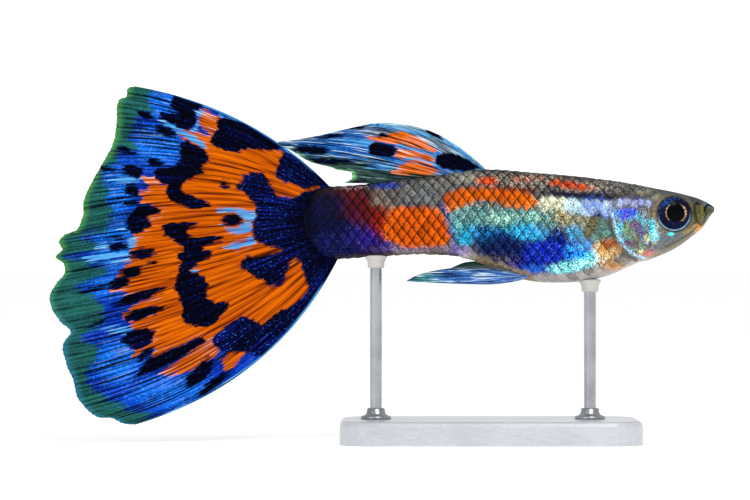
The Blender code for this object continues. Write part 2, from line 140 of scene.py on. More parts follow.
acrylic, w = new_material("frosted_acrylic")
sanded = w.node("ShaderNodeMapping", {}, {"Vector": w.place(), "Scale": (1.0, 9.0, 9.0)})
cloud = w.noise(w.place(), 140.0, 3.0)
rubbed = w.noise(sanded, 900.0, 4.0)
frost = w.noise(w.place(), 5200.0, 3.0)
acrylic_tone = (cloud * 0.4 + rubbed * 0.35 + frost * 0.25).ease(0.36, 0.64)
w.surface({
    "Base Color": acrylic_tone.mix(seen(176, 180, 187), seen(196, 200, 206)),
    "Roughness": rubbed * 0.25 + 0.22,
    "Coat Weight": 0.25,
    "Coat Roughness": 0.15,
    "Normal": w.bump(frost * 0.6 + rubbed * 0.4, 0.02 * MM, 0.4),
})
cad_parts["stand_base"].material_slots[0].material = acrylic


# Stand rods: two polished steel wires, one under the belly and one under the tail stem.
# A turned steel collar holds each in the base, and a pale rubber cup takes the fish.
ROD_PLACES = {"front": 8.33, "rear": -9.50}
GAP = 0.3
# Profiles are (radius, height): the collar's from the floor, the cup's from the belly.
COLLAR_PROFILE = [
    (0.45, 1.75), (1.15, 1.98), (1.30, 2.08), (1.26, 2.24), (0.92, 2.34), (0.80, 2.52),
    (0.74, 2.86), (0.66, 2.92), (0.45, 2.90),
]
CUP_PROFILE = [
    (0.30, -0.95), (0.62, -0.92), (0.70, -0.82), (0.72, -0.40), (0.88, -0.12), (0.92, 0.06),
    (0.60, 0.14),
]
TURNED_SIDES = 48


def curve_through(points):
    """A smooth curve through points given by their place along the fish."""
    xs, ys = (np.array(values) for values in zip(*points))
    slopes = np.gradient(ys, xs)

    def curve(x):
        x = np.clip(x, xs[0], xs[-1])
        i = np.clip(np.searchsorted(xs, x, side="right") - 1, 0, len(xs) - 2)
        step = xs[i + 1] - xs[i]
        t = (x - xs[i]) / step
        start = (2 * t**3 - 3 * t**2 + 1) * ys[i] + (t**3 - 2 * t**2 + t) * step * slopes[i]
        end = (3 * t**2 - 2 * t**3) * ys[i + 1] + (t**3 - t**2) * step * slopes[i + 1]
        return start + end

    return curve


def grid(rows, columns, round_about=False):
    """Quads over rows and columns of points, and each corner's place in a unit square."""
    across = columns if round_about else columns - 1
    i, j = np.meshgrid(np.arange(rows - 1), np.arange(across), indexing="ij")
    corners = [(i + a, j + b) for a, b in ((0, 0), (0, 1), (1, 1), (1, 0))]
    faces = np.stack([r * columns + c % columns for r, c in corners], -1)
    spots = np.stack([np.stack([r / (rows - 1), c / across], -1) for r, c in corners], -2)
    return faces.reshape(-1, 4), spots.reshape(-1, 4, 2)


def flipped(part):
    """Faces and their unwrap corners, turned to look the other way."""
    faces, spots = part
    return faces[:, ::-1], spots[:, ::-1]


def mesh_piece(name, points, parts, look, values=None, colours=None):
    """A smooth mesh of points in millimetres, from parts of faces and unwrap corners.

    Values and colours are painted fields, one number or colour a point.
    """
    data = bpy.data.meshes.new(name)
    faces = [face for part, spots in parts for face in part.tolist()]
    data.from_pydata((np.asarray(points) * MM).tolist(), [], faces)
    for key, numbers in (values or {}).items():
        own = data.attributes.new(key, "FLOAT", "POINT").data
        own.foreach_set("value", np.ascontiguousarray(numbers, np.float32))
    for key, numbers in (colours or {}).items():
        own = data.attributes.new(key, "FLOAT_COLOR", "POINT").data
        full = np.concatenate([numbers, np.ones((len(numbers), 1))], 1)
        own.foreach_set("color", full.astype(np.float32).ravel())
    unwrap = np.concatenate([spots.reshape(-1, 2) for part, spots in parts])
    data.uv_layers.new(name="OFBake").data.foreach_set("uv", unwrap.astype(np.float32).ravel())
    data.shade_smooth()
    data.materials.append(look)
    made = bpy.data.objects.new(name, data)
    bpy.context.scene.collection.objects.link(made)
    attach(made, "root")
    return made


def turned(name, profile, x, look):
    """A closed round piece on an upright line at x, from its (radius, height) profile."""
    angle = np.linspace(0, 2 * np.pi, TURNED_SIDES, endpoint=False)
    r, z = np.array(profile).T
    points = [(x + a * np.cos(angle), a * np.sin(angle), b + 0 * angle) for a, b in zip(r, z)]
    points = np.stack([np.stack(ring, -1) for ring in points]).reshape(-1, 3)
    last = (len(r) - 1) * TURNED_SIDES
    flat = np.stack([0.5 + 0.5 * np.cos(angle), 0.5 + 0.5 * np.sin(angle)], -1)[None]
    foot = (np.arange(TURNED_SIDES)[None], flat)
    head = (last + np.arange(TURNED_SIDES)[None, ::-1], flat)
    parts = [flipped(grid(len(r), TURNED_SIDES, True)), foot, head]
    mesh_piece(name, points, parts, look)


steel, w = new_material("polished_steel")
draw_lines = w.node("ShaderNodeMapping", {}, {"Vector": w.place(), "Scale": (6.0, 6.0, 0.6)})
scratches = w.noise(draw_lines, 3000.0, 3.0)
haze = w.noise(w.place(), 500.0, 3.0)
w.surface({
    "Base Color": haze.ease(0.35, 0.7).mix(seen(168, 171, 176), seen(150, 153, 159)),
    "Metallic": 1.0,
    "Roughness": scratches * 0.25 + 0.14,
    "Normal": w.bump(scratches, 0.01 * MM, 0.4),
})
rubber, w = new_material("pale_rubber")
pores = w.noise(w.place(), 6000.0, 3.0)
w.surface({
    "Base Color": pores.mix(seen(206, 204, 198), seen(176, 174, 168)),
    "Roughness": 0.7,
    "Normal": w.bump(pores, 0.02 * MM, 0.3),
})
for place, x in ROD_PLACES.items():
    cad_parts["stand_rod_" + place].material_slots[0].material = steel
    belly_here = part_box("stand_rod_" + place)[1][2] / MM + GAP
    turned("rod_collar_" + place, COLLAR_PROFILE, x, steel)
    cup = [(r, belly_here + z) for r, z in CUP_PROFILE]
    turned("rod_cup_" + place, cup, x, rubber)


# Body: one cast skin of tinted resin from the snout to the end of the tail stem, with the
# mouth, lips, nostrils, eye rings and gill covers modelled in it and painted by hand.
SNOUT_X = 18.66
BACK_LINE = [
    (-15.83, 21.46), (-12.67, 21.42), (-10.08, 21.62), (-7.25, 21.96), (-3.75, 22.38),
    (-0.25, 22.80), (3.33, 22.55), (7.08, 22.22), (10.83, 21.75), (13.75, 21.22), (16.25, 20.69),
    (17.50, 20.31), (18.17, 19.98), (18.66, 19.66),
]
BELLY_LINE = [
    (-15.83, 15.23), (-12.67, 15.29), (-9.17, 15.52), (-5.00, 15.69), (-2.50, 15.48),
    (0.00, 14.65), (2.08, 13.77), (3.75, 13.40), (5.67, 13.32), (8.33, 13.52), (10.42, 14.11),
    (12.50, 15.06), (14.00, 15.54), (15.42, 16.19), (16.67, 17.06), (17.67, 17.94),
    (18.30, 18.80), (18.66, 19.30),
]
HALF_WIDTH_LINE = [
    (-15.83, 0.40), (-12.67, 0.85), (-9.00, 1.20), (-5.00, 1.55), (-1.00, 1.95), (3.00, 2.30),
    (7.00, 2.55), (10.50, 2.50), (13.50, 2.25), (15.50, 2.00), (17.00, 1.60), (18.00, 1.10),
    (18.66, 0.55),
]
WIDEST_LEVEL_LINE = [(-15.83, 0.50), (-5.00, 0.52), (5.00, 0.52), (12.00, 0.56), (18.66, 0.55)]
BACK_FLATNESS_LINE = [(-15.83, 2.0), (0.00, 2.0), (8.00, 2.3), (13.00, 2.8), (18.66, 2.6)]
BELLY_FLATNESS = 2.0
HYPURAL_X, HYPURAL_Z, HYPURAL_LENGTH, HYPURAL_HEIGHT = -12.83, 18.50, 2.75, 3.17
EYE_X, EYE_Z, EYE_RADIUS = 15.23, 19.07, 1.43
COAT_DEPTH = 0.05
back_z = curve_through(BACK_LINE)
belly_z = curve_through(BELLY_LINE)
half_width = curve_through(HALF_WIDTH_LINE)
widest_level = curve_through(WIDEST_LEVEL_LINE)
back_flatness = curve_through(BACK_FLATNESS_LINE)


def ease(low, high, value):
    """A smooth step of a value: 0 at low, 1 at high."""
    t = np.clip((value - low) / (high - low), 0.0, 1.0)
    return t * t * (3 - 2 * t)


def stem_limit(x):
    """Half the height of the rounded end of the tail stem."""
    inside = 1 - np.clip((HYPURAL_X - x) / HYPURAL_LENGTH, 0, 1) ** 2
    return HYPURAL_HEIGHT * np.sqrt(np.clip(inside, 0.0, 1.0)) + 0.02


def body_limits(x):
    """The levels of the belly and the back, and of the stem's rounded end."""
    low = np.maximum(belly_z(x), np.where(x < HYPURAL_X, HYPURAL_Z - stem_limit(x), -99))
    high = np.minimum(back_z(x), np.where(x < HYPURAL_X, HYPURAL_Z + stem_limit(x), 99))
    return low, high


def body_point(x, turn):
    """A point of the plain body form: turn is -90 degrees at the belly, 90 at the back."""
    low, high = body_limits(x)
    middle = low + widest_level(x) * (high - low)
    power = 2 / np.where(np.sin(turn) >= 0, back_flatness(x), BELLY_FLATNESS)
    across = np.sign(np.cos(turn)) * np.abs(np.cos(turn)) ** power * half_width(x)
    rise = np.abs(np.sin(turn)) ** power
    z = middle + rise * np.where(np.sin(turn) >= 0, high - middle, low - middle)
    return np.stack([x + 0 * turn, -across, z], -1)


def side_y(x, z):
    """How far the plain form's side stands out at a place seen from the side."""
    low, high = body_limits(x)
    middle = low + widest_level(x) * (high - low)
    share = np.where(z >= middle, (z - middle) / (high - middle), (middle - z) / (middle - low))
    flatness = np.where(z >= middle, back_flatness(x), BELLY_FLATNESS)
    inside = 1 - np.clip(np.abs(share), 0, 1) ** flatness
    return half_width(x) * inside ** (1 / flatness)


def from_line(x, z, line):
    """Distance from places to a line of points."""
    best = np.full(np.shape(x), 99.0)
    for (ax, az), (bx, bz) in zip(line[:-1], line[1:]):
        run, rise = bx - ax, bz - az
        t = np.clip(((x - ax) * run + (z - az) * rise) / (run * run + rise * rise), 0, 1)
        best = np.minimum(best, np.hypot(x - ax - t * run, z - az - t * rise))
    return best


def in_outline(x, z, line):
    """Distance inside a closed outline, in millimetres; outside is below nothing."""
    inside = np.zeros(np.shape(x), bool)
    for (ax, az), (bx, bz) in zip(line, line[1:] + line[:1]):
        crosses = (az > z) != (bz > z)
        rise = bz - az if bz != az else 1e-9
        inside ^= crosses & (x < ax + (z - az) / rise * (bx - ax))
    away = from_line(x, z, line + line[:1])
    return np.where(inside, away, -away)


def in_dab(x, z, dab, lean=0.0):
    """Distance inside an oval dab (x, z, half length, half height), roughly."""
    cx, cz, length, height = dab[:4]
    lean = math.radians(dab[4]) if len(dab) > 4 else lean
    along = ((x - cx) * math.cos(lean) + (z - cz) * math.sin(lean)) / length
    across = ((z - cz) * math.cos(lean) - (x - cx) * math.sin(lean)) / height
    return (1 - np.hypot(along, across)) * min(length, height)


def in_shape(x, z, shape, lean=0.0):
    """Distance inside an outline, an oval dab or a stroke (half width, line)."""
    if isinstance(shape, list):
        return in_outline(x, z, shape)
    if len(shape) == 2:
        return shape[0] - from_line(x, z, shape[1])
    return in_dab(x, z, shape, lean)


def rough(x, z, size, seed):
    """Even, repeatable roughness from -1 to 1 made of crossed waves of about one size."""
    draw = np.random.default_rng(seed)
    total = 0.0
    for turn, phase in zip(draw.uniform(0, 2 * np.pi, 9), draw.uniform(0, 2 * np.pi, 9)):
        wave = 2 * np.pi / size * draw.uniform(0.7, 1.5)
        total = total + np.sin(wave * (x * np.cos(turn) + z * np.sin(turn)) + phase)
    return total / 4.5


# Lines of the head that are modelled, and painted dark as painted shade in their grooves. The
# gill cover's hind edge and the cheek's are places along the fish at several levels.
GILL_LEVELS = [13.0, 15.10, 15.25, 15.60, 16.33, 17.20, 18.42, 19.60, 20.40, 21.5, 24.0]
GILL_XS = [15.2, 13.90, 12.92, 11.90, 11.00, 10.45, 10.17, 10.30, 10.62, 11.3, 12.5]
CHEEK_LEVELS = [15.0, 15.90, 16.20, 17.30, 18.50, 19.60, 20.6]
CHEEK_XS = [16.0, 14.70, 13.90, 13.30, 13.28, 13.20, 13.3]
MOUTH_SLIT = [(18.80, 19.62), (18.40, 19.80), (18.08, 19.86), (17.86, 19.56), (17.79, 19.30)]
LIP_FOLD = [
    (16.98, 19.85), (16.95, 19.25), (17.15, 18.50), (17.50, 18.15), (17.82, 18.45), (17.95, 19.2),
]
JAW_CREASE = [(17.20, 18.05), (16.60, 17.50), (15.60, 16.85), (14.60, 16.35)]
NOSTRIL = (17.18, 19.95)


def ridge(away, height, width, middle=0.0):
    """A rounded ridge, or a groove where the height is below nothing."""
    return height * np.exp(-(((away - middle) / width) ** 2))


def relief(x, z):
    """How far the real skin stands out from the plain form, on the head."""
    behind = np.interp(z, GILL_LEVELS, GILL_XS) - x
    cover = 0.11 * ease(2.4, 0.0, -behind) * (behind <= 0)
    cover = (cover - 0.08 * ease(0.7, 0.0, behind) * (behind > 0)) * ease(21.2, 20.2, z)
    cheek = np.abs(np.interp(z, CHEEK_LEVELS, CHEEK_XS) - x)
    groove = ridge(cheek, -0.05, 0.10) * ease(20.4, 19.8, z) * ease(15.5, 16.2, z)
    slit = from_line(x, z, MOUTH_SLIT)
    slit = ridge(slit, -0.18, 0.08) + ridge(slit, 0.05, 0.10, 0.20)
    fold = from_line(x, z, LIP_FOLD)
    fold = ridge(fold, -0.12, 0.08) + ridge(fold, 0.06, 0.12, 0.22)
    crease = ridge(from_line(x, z, JAW_CREASE), -0.07, 0.08)
    pit = np.hypot(x - NOSTRIL[0], z - NOSTRIL[1])
    nostril = ridge(pit, -0.16, 0.11) + ridge(pit, 0.05, 0.07, 0.22)
    return cover + groove + slit + fold + crease + nostril


def eye_ring(x, z):
    """The skin's step down round the eye, its raised rim and the cup that takes the eye."""
    away = np.hypot(x - EYE_X, z - EYE_Z)
    rim = ridge(away, 0.07, 0.09, 1.58) - 0.10 * ease(2.2, 1.55, away)
    return rim - 0.55 * ease(1.48, 1.25, away)


def round_eye(radius):
    """A ring of points round the eye."""
    return [(EYE_X + radius * math.cos(a / 3), EYE_Z + radius * math.sin(a / 3)) for a in range(20)]


# The body's plain tones, each at its level from the belly, 0, to the back, 1.
BODY_TONES = [
    (0.00, seen(196, 190, 182)), (0.10, seen(156, 148, 142)), (0.25, seen(108, 110, 104)),
    (0.45, seen(88, 122, 120)), (0.62, seen(116, 118, 104)), (0.80, seen(102, 102, 96)),
    (0.94, seen(80, 82, 82)), (1.00, seen(48, 50, 54)),
]
# Painted markings in the order they are laid on: a colour, how soft its edge is, how thick
# the paint is, how much it glitters, and its shapes. A shape is an outline, an oval dab
# (x, z, half length, half height, lean) or a stroke (half width, line), in millimetres.
BODY_MARKS = [
    # Tail stem: black over navy, dark red above and blue to purple below.
    (seen(5, 5, 16), 0.45, 1.0, 0.15, [[
        (-15.83, 21.92), (-11.67, 21.50), (-10.17, 21.08), (-8.83, 19.83), (-8.83, 17.33),
        (-7.67, 15.58), (-13.33, 14.92), (-15.83, 14.92),
    ]]),
    (seen(46, 34, 32), 0.3, 0.8, 0.2, [(-12.08, 21.00, 2.50, 0.50)]),
    (seen(112, 24, 8), 0.7, 0.8, 0.15, [[
        (-12.67, 20.92), (-10.67, 21.08), (-9.58, 20.58), (-8.50, 19.58), (-8.67, 18.08),
        (-9.67, 17.42), (-11.00, 18.08), (-12.08, 19.25),
    ]]),
    (seen(24, 15, 20), 0.7, 0.7, 0.15, [(-13.17, 19.75, 1.58, 1.25)]),
    (seen(8, 14, 84), 0.7, 0.8, 0.6, [(-12.50, 16.67, 2.17, 1.00), (-11.50, 17.83, 1.08, 0.67)]),
    (seen(52, 32, 160), 0.6, 0.75, 0.5, [(-10.17, 17.08, 1.42, 0.75), (-8.67, 16.58, 1.00, 0.50)]),
    (seen(104, 80, 120), 0.25, 0.75, 0.3, [(-6.00, 16.25, 3.33, 0.33)]),
    (seen(74, 60, 50), 0.25, 0.9, 0.1, [(0.26, [
        (-12.83, 15.25), (-9.17, 15.54), (-6.67, 15.71), (-4.17, 15.79), (-2.67, 15.67),
    ])]),
    # Back behind the dorsal fin: pale scales, with one blue patch by the stem.
    (seen(150, 136, 100), 0.35, 0.85, 0.75, [[
        (-9.83, 21.08), (-8.17, 21.58), (-7.17, 21.75), (-7.17, 20.00), (-8.33, 19.58),
        (-9.83, 19.92),
    ]]),
    (seen(152, 156, 136), 0.35, 0.85, 0.85, [(-5.50, 20.92, 2.17, 1.00), (-2.00, 22.25, 1.17, 0.50)]),
    (seen(14, 50, 170), 0.2, 0.9, 0.8, [(-8.50, 21.42, 1.00, 0.23)]),
    # Middle of the side: turquoise scales, running to cyan below.
    (seen(46, 150, 164), 0.35, 0.95, 0.9, [[
        (-3.58, 19.17), (-2.50, 19.83), (-0.83, 20.17), (1.67, 19.58), (4.17, 19.50),
        (5.83, 19.17), (5.83, 17.75), (4.83, 16.92), (2.50, 16.75), (0.83, 17.42), (-1.00, 17.75),
        (-1.67, 16.42), (-2.67, 16.58), (-3.33, 17.92),
    ]]),
    (seen(128, 214, 204), 0.25, 0.7, 1.0, [
        (0.83, 18.67, 1.17, 0.50), (3.42, 18.83, 0.75, 0.42), (-2.75, 18.25, 0.42, 0.58),
    ]),
    (seen(48, 178, 236), 0.3, 0.85, 0.9, [(3.17, 17.58, 1.50, 0.67), (7.00, 17.58, 0.75, 0.67)]),
    (seen(26, 196, 240), 0.2, 0.9, 1.0, [(-2.00, 17.00, 0.50, 0.50)]),
    (seen(126, 110, 84), 0.3, 0.7, 0.3, [(6.08, 18.92, 0.83, 0.50)]),
    (seen(150, 130, 205), 0.3, 0.6, 0.6, [(-2.50, 16.08, 0.83, 0.42)]),
    (seen(76, 66, 156), 0.25, 0.7, 0.6, [(0.22, [
        (-4.08, 19.83), (-3.58, 19.17), (-3.33, 18.42), (-3.08, 17.25), (-2.83, 16.25),
    ])]),
    # Flank: deep royal blue, nearly black behind and cyan along its lower edge.
    (seen(3, 22, 126), 0.3, 1.0, 0.7, [[
        (-0.83, 17.92), (0.83, 17.83), (2.50, 16.92), (4.58, 16.75), (4.92, 17.83), (5.92, 18.00),
        (6.75, 17.08), (8.17, 16.25), (8.83, 15.25), (7.50, 14.42), (5.83, 14.17), (3.33, 14.17),
        (1.50, 14.67), (0.33, 15.17), (-0.67, 15.83), (-1.33, 16.92),
    ]]),
    (seen(6, 26, 84), 0.5, 0.85, 0.4, [(0.58, 16.25, 2.00, 1.17)]),
    (seen(10, 70, 120), 0.4, 0.6, 0.6, [(-0.67, 17.25, 1.00, 1.00)]),
    (seen(2, 50, 222), 0.4, 0.85, 0.9, [(4.83, 16.00, 1.67, 0.92)]),
    (seen(2, 96, 226), 0.35, 0.9, 0.9, [(7.33, 15.92, 1.25, 0.92)]),
    (seen(2, 6, 84), 0.2, 0.9, 0.3, [(5.50, 17.25, 0.58, 0.58)]),
    (seen(96, 246, 255), 0.2, 0.95, 1.0, [[
        (4.75, 14.67), (5.83, 15.08), (7.08, 15.33), (8.17, 15.92), (9.00, 15.92), (9.08, 15.25),
        (7.92, 14.58), (6.25, 14.25), (5.00, 14.25),
    ]]),
    (seen(30, 110, 235), 0.2, 0.7, 0.8, [(3.83, 14.58, 1.00, 0.33)]),
    # Shoulder: cream to white to violet scales under a navy band.
    (seen(246, 246, 214), 0.2, 0.95, 1.0, [(4.67, 19.92, 0.67, 0.58), (5.67, 20.00, 0.67, 0.58)]),
    (seen(232, 250, 250), 0.2, 0.95, 1.0, [(6.75, 19.75, 0.67, 0.67)]),
    (seen(222, 240, 255), 0.2, 0.95, 1.0, [
        (8.08, 19.67, 0.75, 0.75), (9.17, 19.92, 0.75, 0.58), (9.67, 19.25, 0.58, 0.50),
    ]),
    (seen(204, 216, 255), 0.12, 0.95, 1.0, [
        (10.75, 20.00, 0.33, 0.29, 30), (11.33, 20.12, 0.33, 0.25, -20),
        (11.92, 19.92, 0.29, 0.28, 20), (12.50, 20.08, 0.29, 0.22), (13.08, 19.96, 0.25, 0.25),
    ]),
    (seen(14, 20, 54), 0.15, 0.95, 0.2, [[
        (4.58, 21.33), (5.17, 21.08), (5.83, 21.00), (7.08, 20.92), (8.33, 21.00), (9.50, 21.08),
        (10.50, 20.75), (10.17, 20.25), (9.00, 20.17), (7.08, 20.33), (5.83, 20.42),
        (4.83, 20.67),
    ]]),
    # Orange patches, sharp at the edges of their scales.
    (seen(120, 44, 14), 0.15, 0.9, 0.1, [(1.25, 21.08, 2.50, 0.42)]),
    (seen(238, 112, 6), 0.12, 1.0, 0.15, [[
        (-3.92, 20.42), (-3.42, 20.92), (-2.75, 21.08), (-1.67, 21.33), (-0.67, 21.25),
        (0.58, 21.17), (1.67, 21.00), (2.67, 20.92), (3.42, 20.58), (4.00, 20.25), (3.75, 19.75),
        (3.17, 19.50), (2.42, 19.58), (1.50, 19.67), (0.58, 20.00), (-0.17, 20.25),
        (-1.00, 20.25), (-1.67, 20.00), (-2.33, 19.75), (-2.83, 19.50), (-3.33, 19.17),
        (-3.67, 19.75),
    ]]),
    (seen(150, 34, 6), 0.4, 0.8, 0.1, [(-9.00, 18.42, 0.75, 1.25)]),
    (seen(232, 98, 6), 0.12, 1.0, 0.15, [[
        (-8.50, 19.17), (-8.17, 19.58), (-7.33, 19.75), (-6.00, 19.75), (-4.75, 19.67),
        (-4.17, 19.42), (-3.83, 18.75), (-3.50, 17.92), (-3.25, 17.25), (-3.50, 16.67),
        (-4.17, 16.42), (-5.83, 16.42), (-7.08, 16.33), (-7.83, 16.67), (-8.58, 16.92),
        (-8.92, 17.33), (-8.92, 17.92), (-8.67, 18.58),
    ]]),
    (seen(224, 78, 12), 0.12, 0.98, 0.3, [
        (-0.25, 21.83, 0.83, 0.33), (5.50, 21.67, 0.58, 0.25), (6.50, 21.50, 0.67, 0.28),
        (7.58, 21.33, 0.58, 0.25), (8.50, 21.25, 0.25, 0.12),
    ]),
    (seen(200, 86, 50), 0.15, 0.75, 0.3, [
        (2.25, 22.00, 0.50, 0.25), (3.17, 22.00, 0.50, 0.25), (4.25, 22.00, 0.33, 0.17),
    ]),
    # Behind the gill cover: orange and yellow, with the olive root of the pectoral fin.
    (seen(244, 182, 92), 0.2, 0.9, 0.8, [[
        (8.33, 16.42), (9.17, 16.92), (10.17, 16.92), (10.83, 16.33), (10.83, 15.83),
        (9.83, 15.58), (8.83, 15.58), (8.33, 15.92),
    ]]),
    (seen(150, 58, 30), 0.2, 0.85, 0.3, [(9.83, 16.58, 0.58, 0.42)]),
    (seen(208, 142, 62), 0.25, 0.8, 0.4, [(9.50, 15.17, 0.75, 0.33), (10.25, 14.83, 0.75, 0.33)]),
    (seen(252, 238, 190), 0.08, 0.9, 1.0, [
        (9.50, 15.88, 0.75, 0.10, 8), (9.67, 15.50, 0.67, 0.08, 4), (8.75, 16.08, 0.17, 0.25),
        (10.33, 16.17, 0.33, 0.08, 10), (9.08, 16.50, 0.25, 0.08),
    ]),
    (seen(106, 98, 52), 0.2, 0.95, 0.3, [[
        (7.83, 18.25), (8.33, 19.00), (9.17, 19.17), (9.58, 18.92), (9.08, 18.42), (8.58, 17.67),
        (8.17, 16.92), (7.75, 17.25),
    ]]),
    (seen(20, 18, 16), 0.1, 0.9, 0.0, [(9.00, 18.92, 0.33, 0.17)]),
    (seen(116, 204, 176), 0.12, 0.85, 1.0, [
        (9.33, 17.83, 0.20, 0.67, 15), (8.50, 15.42, 0.25, 0.67), (8.83, 17.08, 0.17, 0.33, 20),
    ]),
    # Gill cover: flecks of blue, cyan and green over grey-brown, with a pale hind edge.
    (seen(102, 90, 88), 0.2, 0.85, 0.7, [[
        (10.00, 19.25), (11.50, 19.50), (12.67, 19.58), (13.33, 18.75), (13.58, 16.92),
        (13.33, 15.58), (12.17, 15.42), (11.00, 16.17), (10.42, 17.42),
    ]]),
    (seen(38, 76, 230), 0.14, 0.8, 1.0, [
        (10.67, 19.17, 0.33, 0.25), (10.92, 18.67, 0.25, 0.21), (11.42, 18.92, 0.25, 0.17),
        (11.83, 19.25, 0.33, 0.25), (11.33, 19.33, 0.25, 0.12),
    ]),
    (seen(80, 204, 232), 0.12, 0.85, 1.0, [
        (11.58, 18.58, 0.25, 0.13), (12.17, 18.75, 0.42, 0.17, -20),
        (12.58, 18.50, 0.33, 0.25, -40), (10.75, 18.08, 0.25, 0.25), (10.67, 17.58, 0.22, 0.33),
        (12.75, 18.08, 0.13, 0.25, 20), (10.92, 16.92, 0.15, 0.50, -70),
        (11.58, 16.17, 0.33, 0.12, -45),
    ]),
    (seen(76, 170, 240), 0.12, 0.8, 1.0, [(0.20, [(12.42, 17.85), (12.75, 17.0), (12.95, 16.75)])]),
    (seen(110, 60, 136), 0.12, 0.8, 0.6, [
        (11.92, 18.17, 0.33, 0.25), (12.58, 17.50, 0.25, 0.25), (11.50, 16.67, 0.33, 0.25),
        (12.33, 17.92, 0.17, 0.17),
    ]),
    (seen(146, 222, 160), 0.10, 0.9, 1.0, [
        (11.33, 18.08, 0.13, 0.33, 10), (11.75, 17.58, 0.33, 0.10, -45),
        (11.50, 17.17, 0.33, 0.10, -50), (12.58, 16.42, 0.13, 0.33, 25),
        (12.08, 16.17, 0.17, 0.10), (11.17, 17.58, 0.10, 0.25), (12.00, 17.17, 0.12, 0.10),
        (13.17, 17.25, 0.10, 0.33, 15),
    ]),
    (seen(240, 240, 160), 0.08, 0.9, 1.0, [(12.92, 17.08, 0.25, 0.33), (12.50, 15.92, 0.17, 0.17)]),
    # Cheek: a cyan streak behind the eye, a pink spot under it and a bright fleck.
    (seen(112, 98, 74), 0.25, 0.85, 0.3, [(0.30, round_eye(1.66))]),
    (seen(84, 216, 242), 0.12, 0.95, 1.0, [(0.26, [(13.33, 18.42), (13.50, 17.58), (13.75, 16.92)])]),
    (seen(216, 190, 90), 0.15, 0.8, 0.8, [(13.83, 16.67, 0.33, 0.17)]),
    (seen(226, 124, 112), 0.25, 0.85, 0.4, [(13.25, 15.83, 0.50, 0.25)]),
    (seen(88, 98, 104), 0.3, 0.85, 0.3, [(15.00, 16.83, 1.83, 0.67, 20)]),
    (seen(152, 138, 82), 0.2, 0.8, 0.3, [(16.58, 17.67, 0.58, 0.25, 25)]),
    (seen(84, 68, 50), 0.2, 0.7, 0.1, [(16.50, 18.17, 0.42, 0.17, 30)]),
    (seen(60, 228, 240), 0.06, 0.95, 1.0, [(14.96, 17.42, 0.28, 0.13)]),
    # Crown and snout: dark blue-grey, olive toward the mouth; the jaw is sandy.
    (seen(56, 64, 74), 0.35, 0.85, 0.2, [[
        (9.17, 22.25), (12.50, 21.58), (14.17, 21.25), (16.67, 20.67), (18.17, 20.00),
        (17.50, 19.67), (16.17, 20.17), (14.50, 20.67), (12.83, 20.58), (10.17, 21.17),
    ]]),
    (seen(66, 62, 56), 0.25, 0.8, 0.2, [(11.83, 20.75, 1.83, 0.42)]),
    (seen(160, 148, 108), 0.12, 0.7, 0.6, [
        (12.50, 20.92, 0.33, 0.17), (13.17, 21.00, 0.25, 0.17), (13.75, 20.50, 0.33, 0.17, 35),
    ]),
    (seen(62, 60, 32), 0.3, 0.85, 0.2, [[
        (16.67, 20.33), (17.83, 20.17), (18.67, 19.58), (18.58, 19.17), (17.83, 18.83),
        (17.50, 18.00), (16.92, 18.17), (16.67, 19.25),
    ]]),
    (seen(92, 110, 132), 0.15, 0.7, 0.3, [(18.00, 19.83, 0.42, 0.17, -30)]),
    (seen(112, 104, 42), 0.2, 0.5, 0.2, [(17.33, 18.67, 0.25, 0.42)]),
    (seen(126, 120, 100), 0.25, 0.85, 0.2, [[
        (18.67, 19.25), (17.67, 17.92), (16.67, 17.17), (15.42, 16.25), (13.75, 15.33),
        (13.17, 15.50), (14.58, 16.33), (15.83, 17.08), (16.83, 17.67), (17.50, 18.42),
    ]]),
    (seen(206, 150, 78), 0.2, 0.8, 0.2, [(17.33, 17.92, 0.42, 0.33)]),
    # Belly: bare and faintly see-through, pinkish in front and sandy behind.
    (seen(156, 150, 148), 0.3, 0.8, 0.2, [(7.50, 13.67, 4.33, 0.50)]),
    (seen(142, 122, 92), 0.2, 0.95, 0.2, [[
        (-1.33, 15.75), (0.83, 15.00), (3.17, 14.33), (4.17, 13.25), (1.25, 13.58),
        (-1.33, 14.75),
    ]]),
]


# Fine lines laid last: the gill cover's pale edge, and painted shade in the head's grooves and folds.
FINE_LINES_AND_GROOVE_SHADE = [
    # Painted shade: a dark line in the groove behind the gill cover's edge.
    (seen(44, 34, 30), 0.12, 0.75, 0.0, [(0.10, [
        (9.75, 19.75), (9.83, 18.75), (10.08, 17.50), (10.50, 16.42), (11.25, 15.67),
        (12.17, 15.25),
    ])]),
    (seen(170, 212, 238), 0.05, 0.9, 0.8, [(0.06, [
        (10.00, 19.75), (10.17, 18.75), (10.42, 17.58), (10.83, 16.67), (11.50, 16.00),
        (12.25, 15.58), (12.92, 15.42),
    ])]),
    # Painted shade: a dark line in the cheek's groove.
    (seen(70, 56, 46), 0.10, 0.6, 0.0, [(0.05, [
        (13.33, 19.75), (13.33, 18.92), (13.25, 18.08), (13.00, 17.08), (12.58, 16.25),
    ])]),
    (seen(110, 100, 44), 0.14, 0.5, 0.1, [(0.12, [
        (17.58, 19.67), (17.67, 19.17), (17.67, 18.67),
    ])]),
    # Painted shade in the lip fold, the mouth slit, the jaw crease and the nostril's pit.
    (seen(44, 39, 20), 0.10, 0.7, 0.0, [(0.06, LIP_FOLD)]),
    (seen(14, 12, 10), 0.06, 0.95, 0.0, [(0.08, MOUTH_SLIT)]),
    (seen(64, 52, 38), 0.10, 0.7, 0.0, [(0.05, JAW_CREASE)]),
    (seen(8, 7, 6), 0.06, 0.95, 0.0, [(NOSTRIL[0], NOSTRIL[1], 0.15, 0.10)]),
    # Painted shade round the eye, where it sits in its cup.
    (seen(60, 46, 34), 0.10, 0.6, 0.0, [(0.06, round_eye(1.47))]),
]
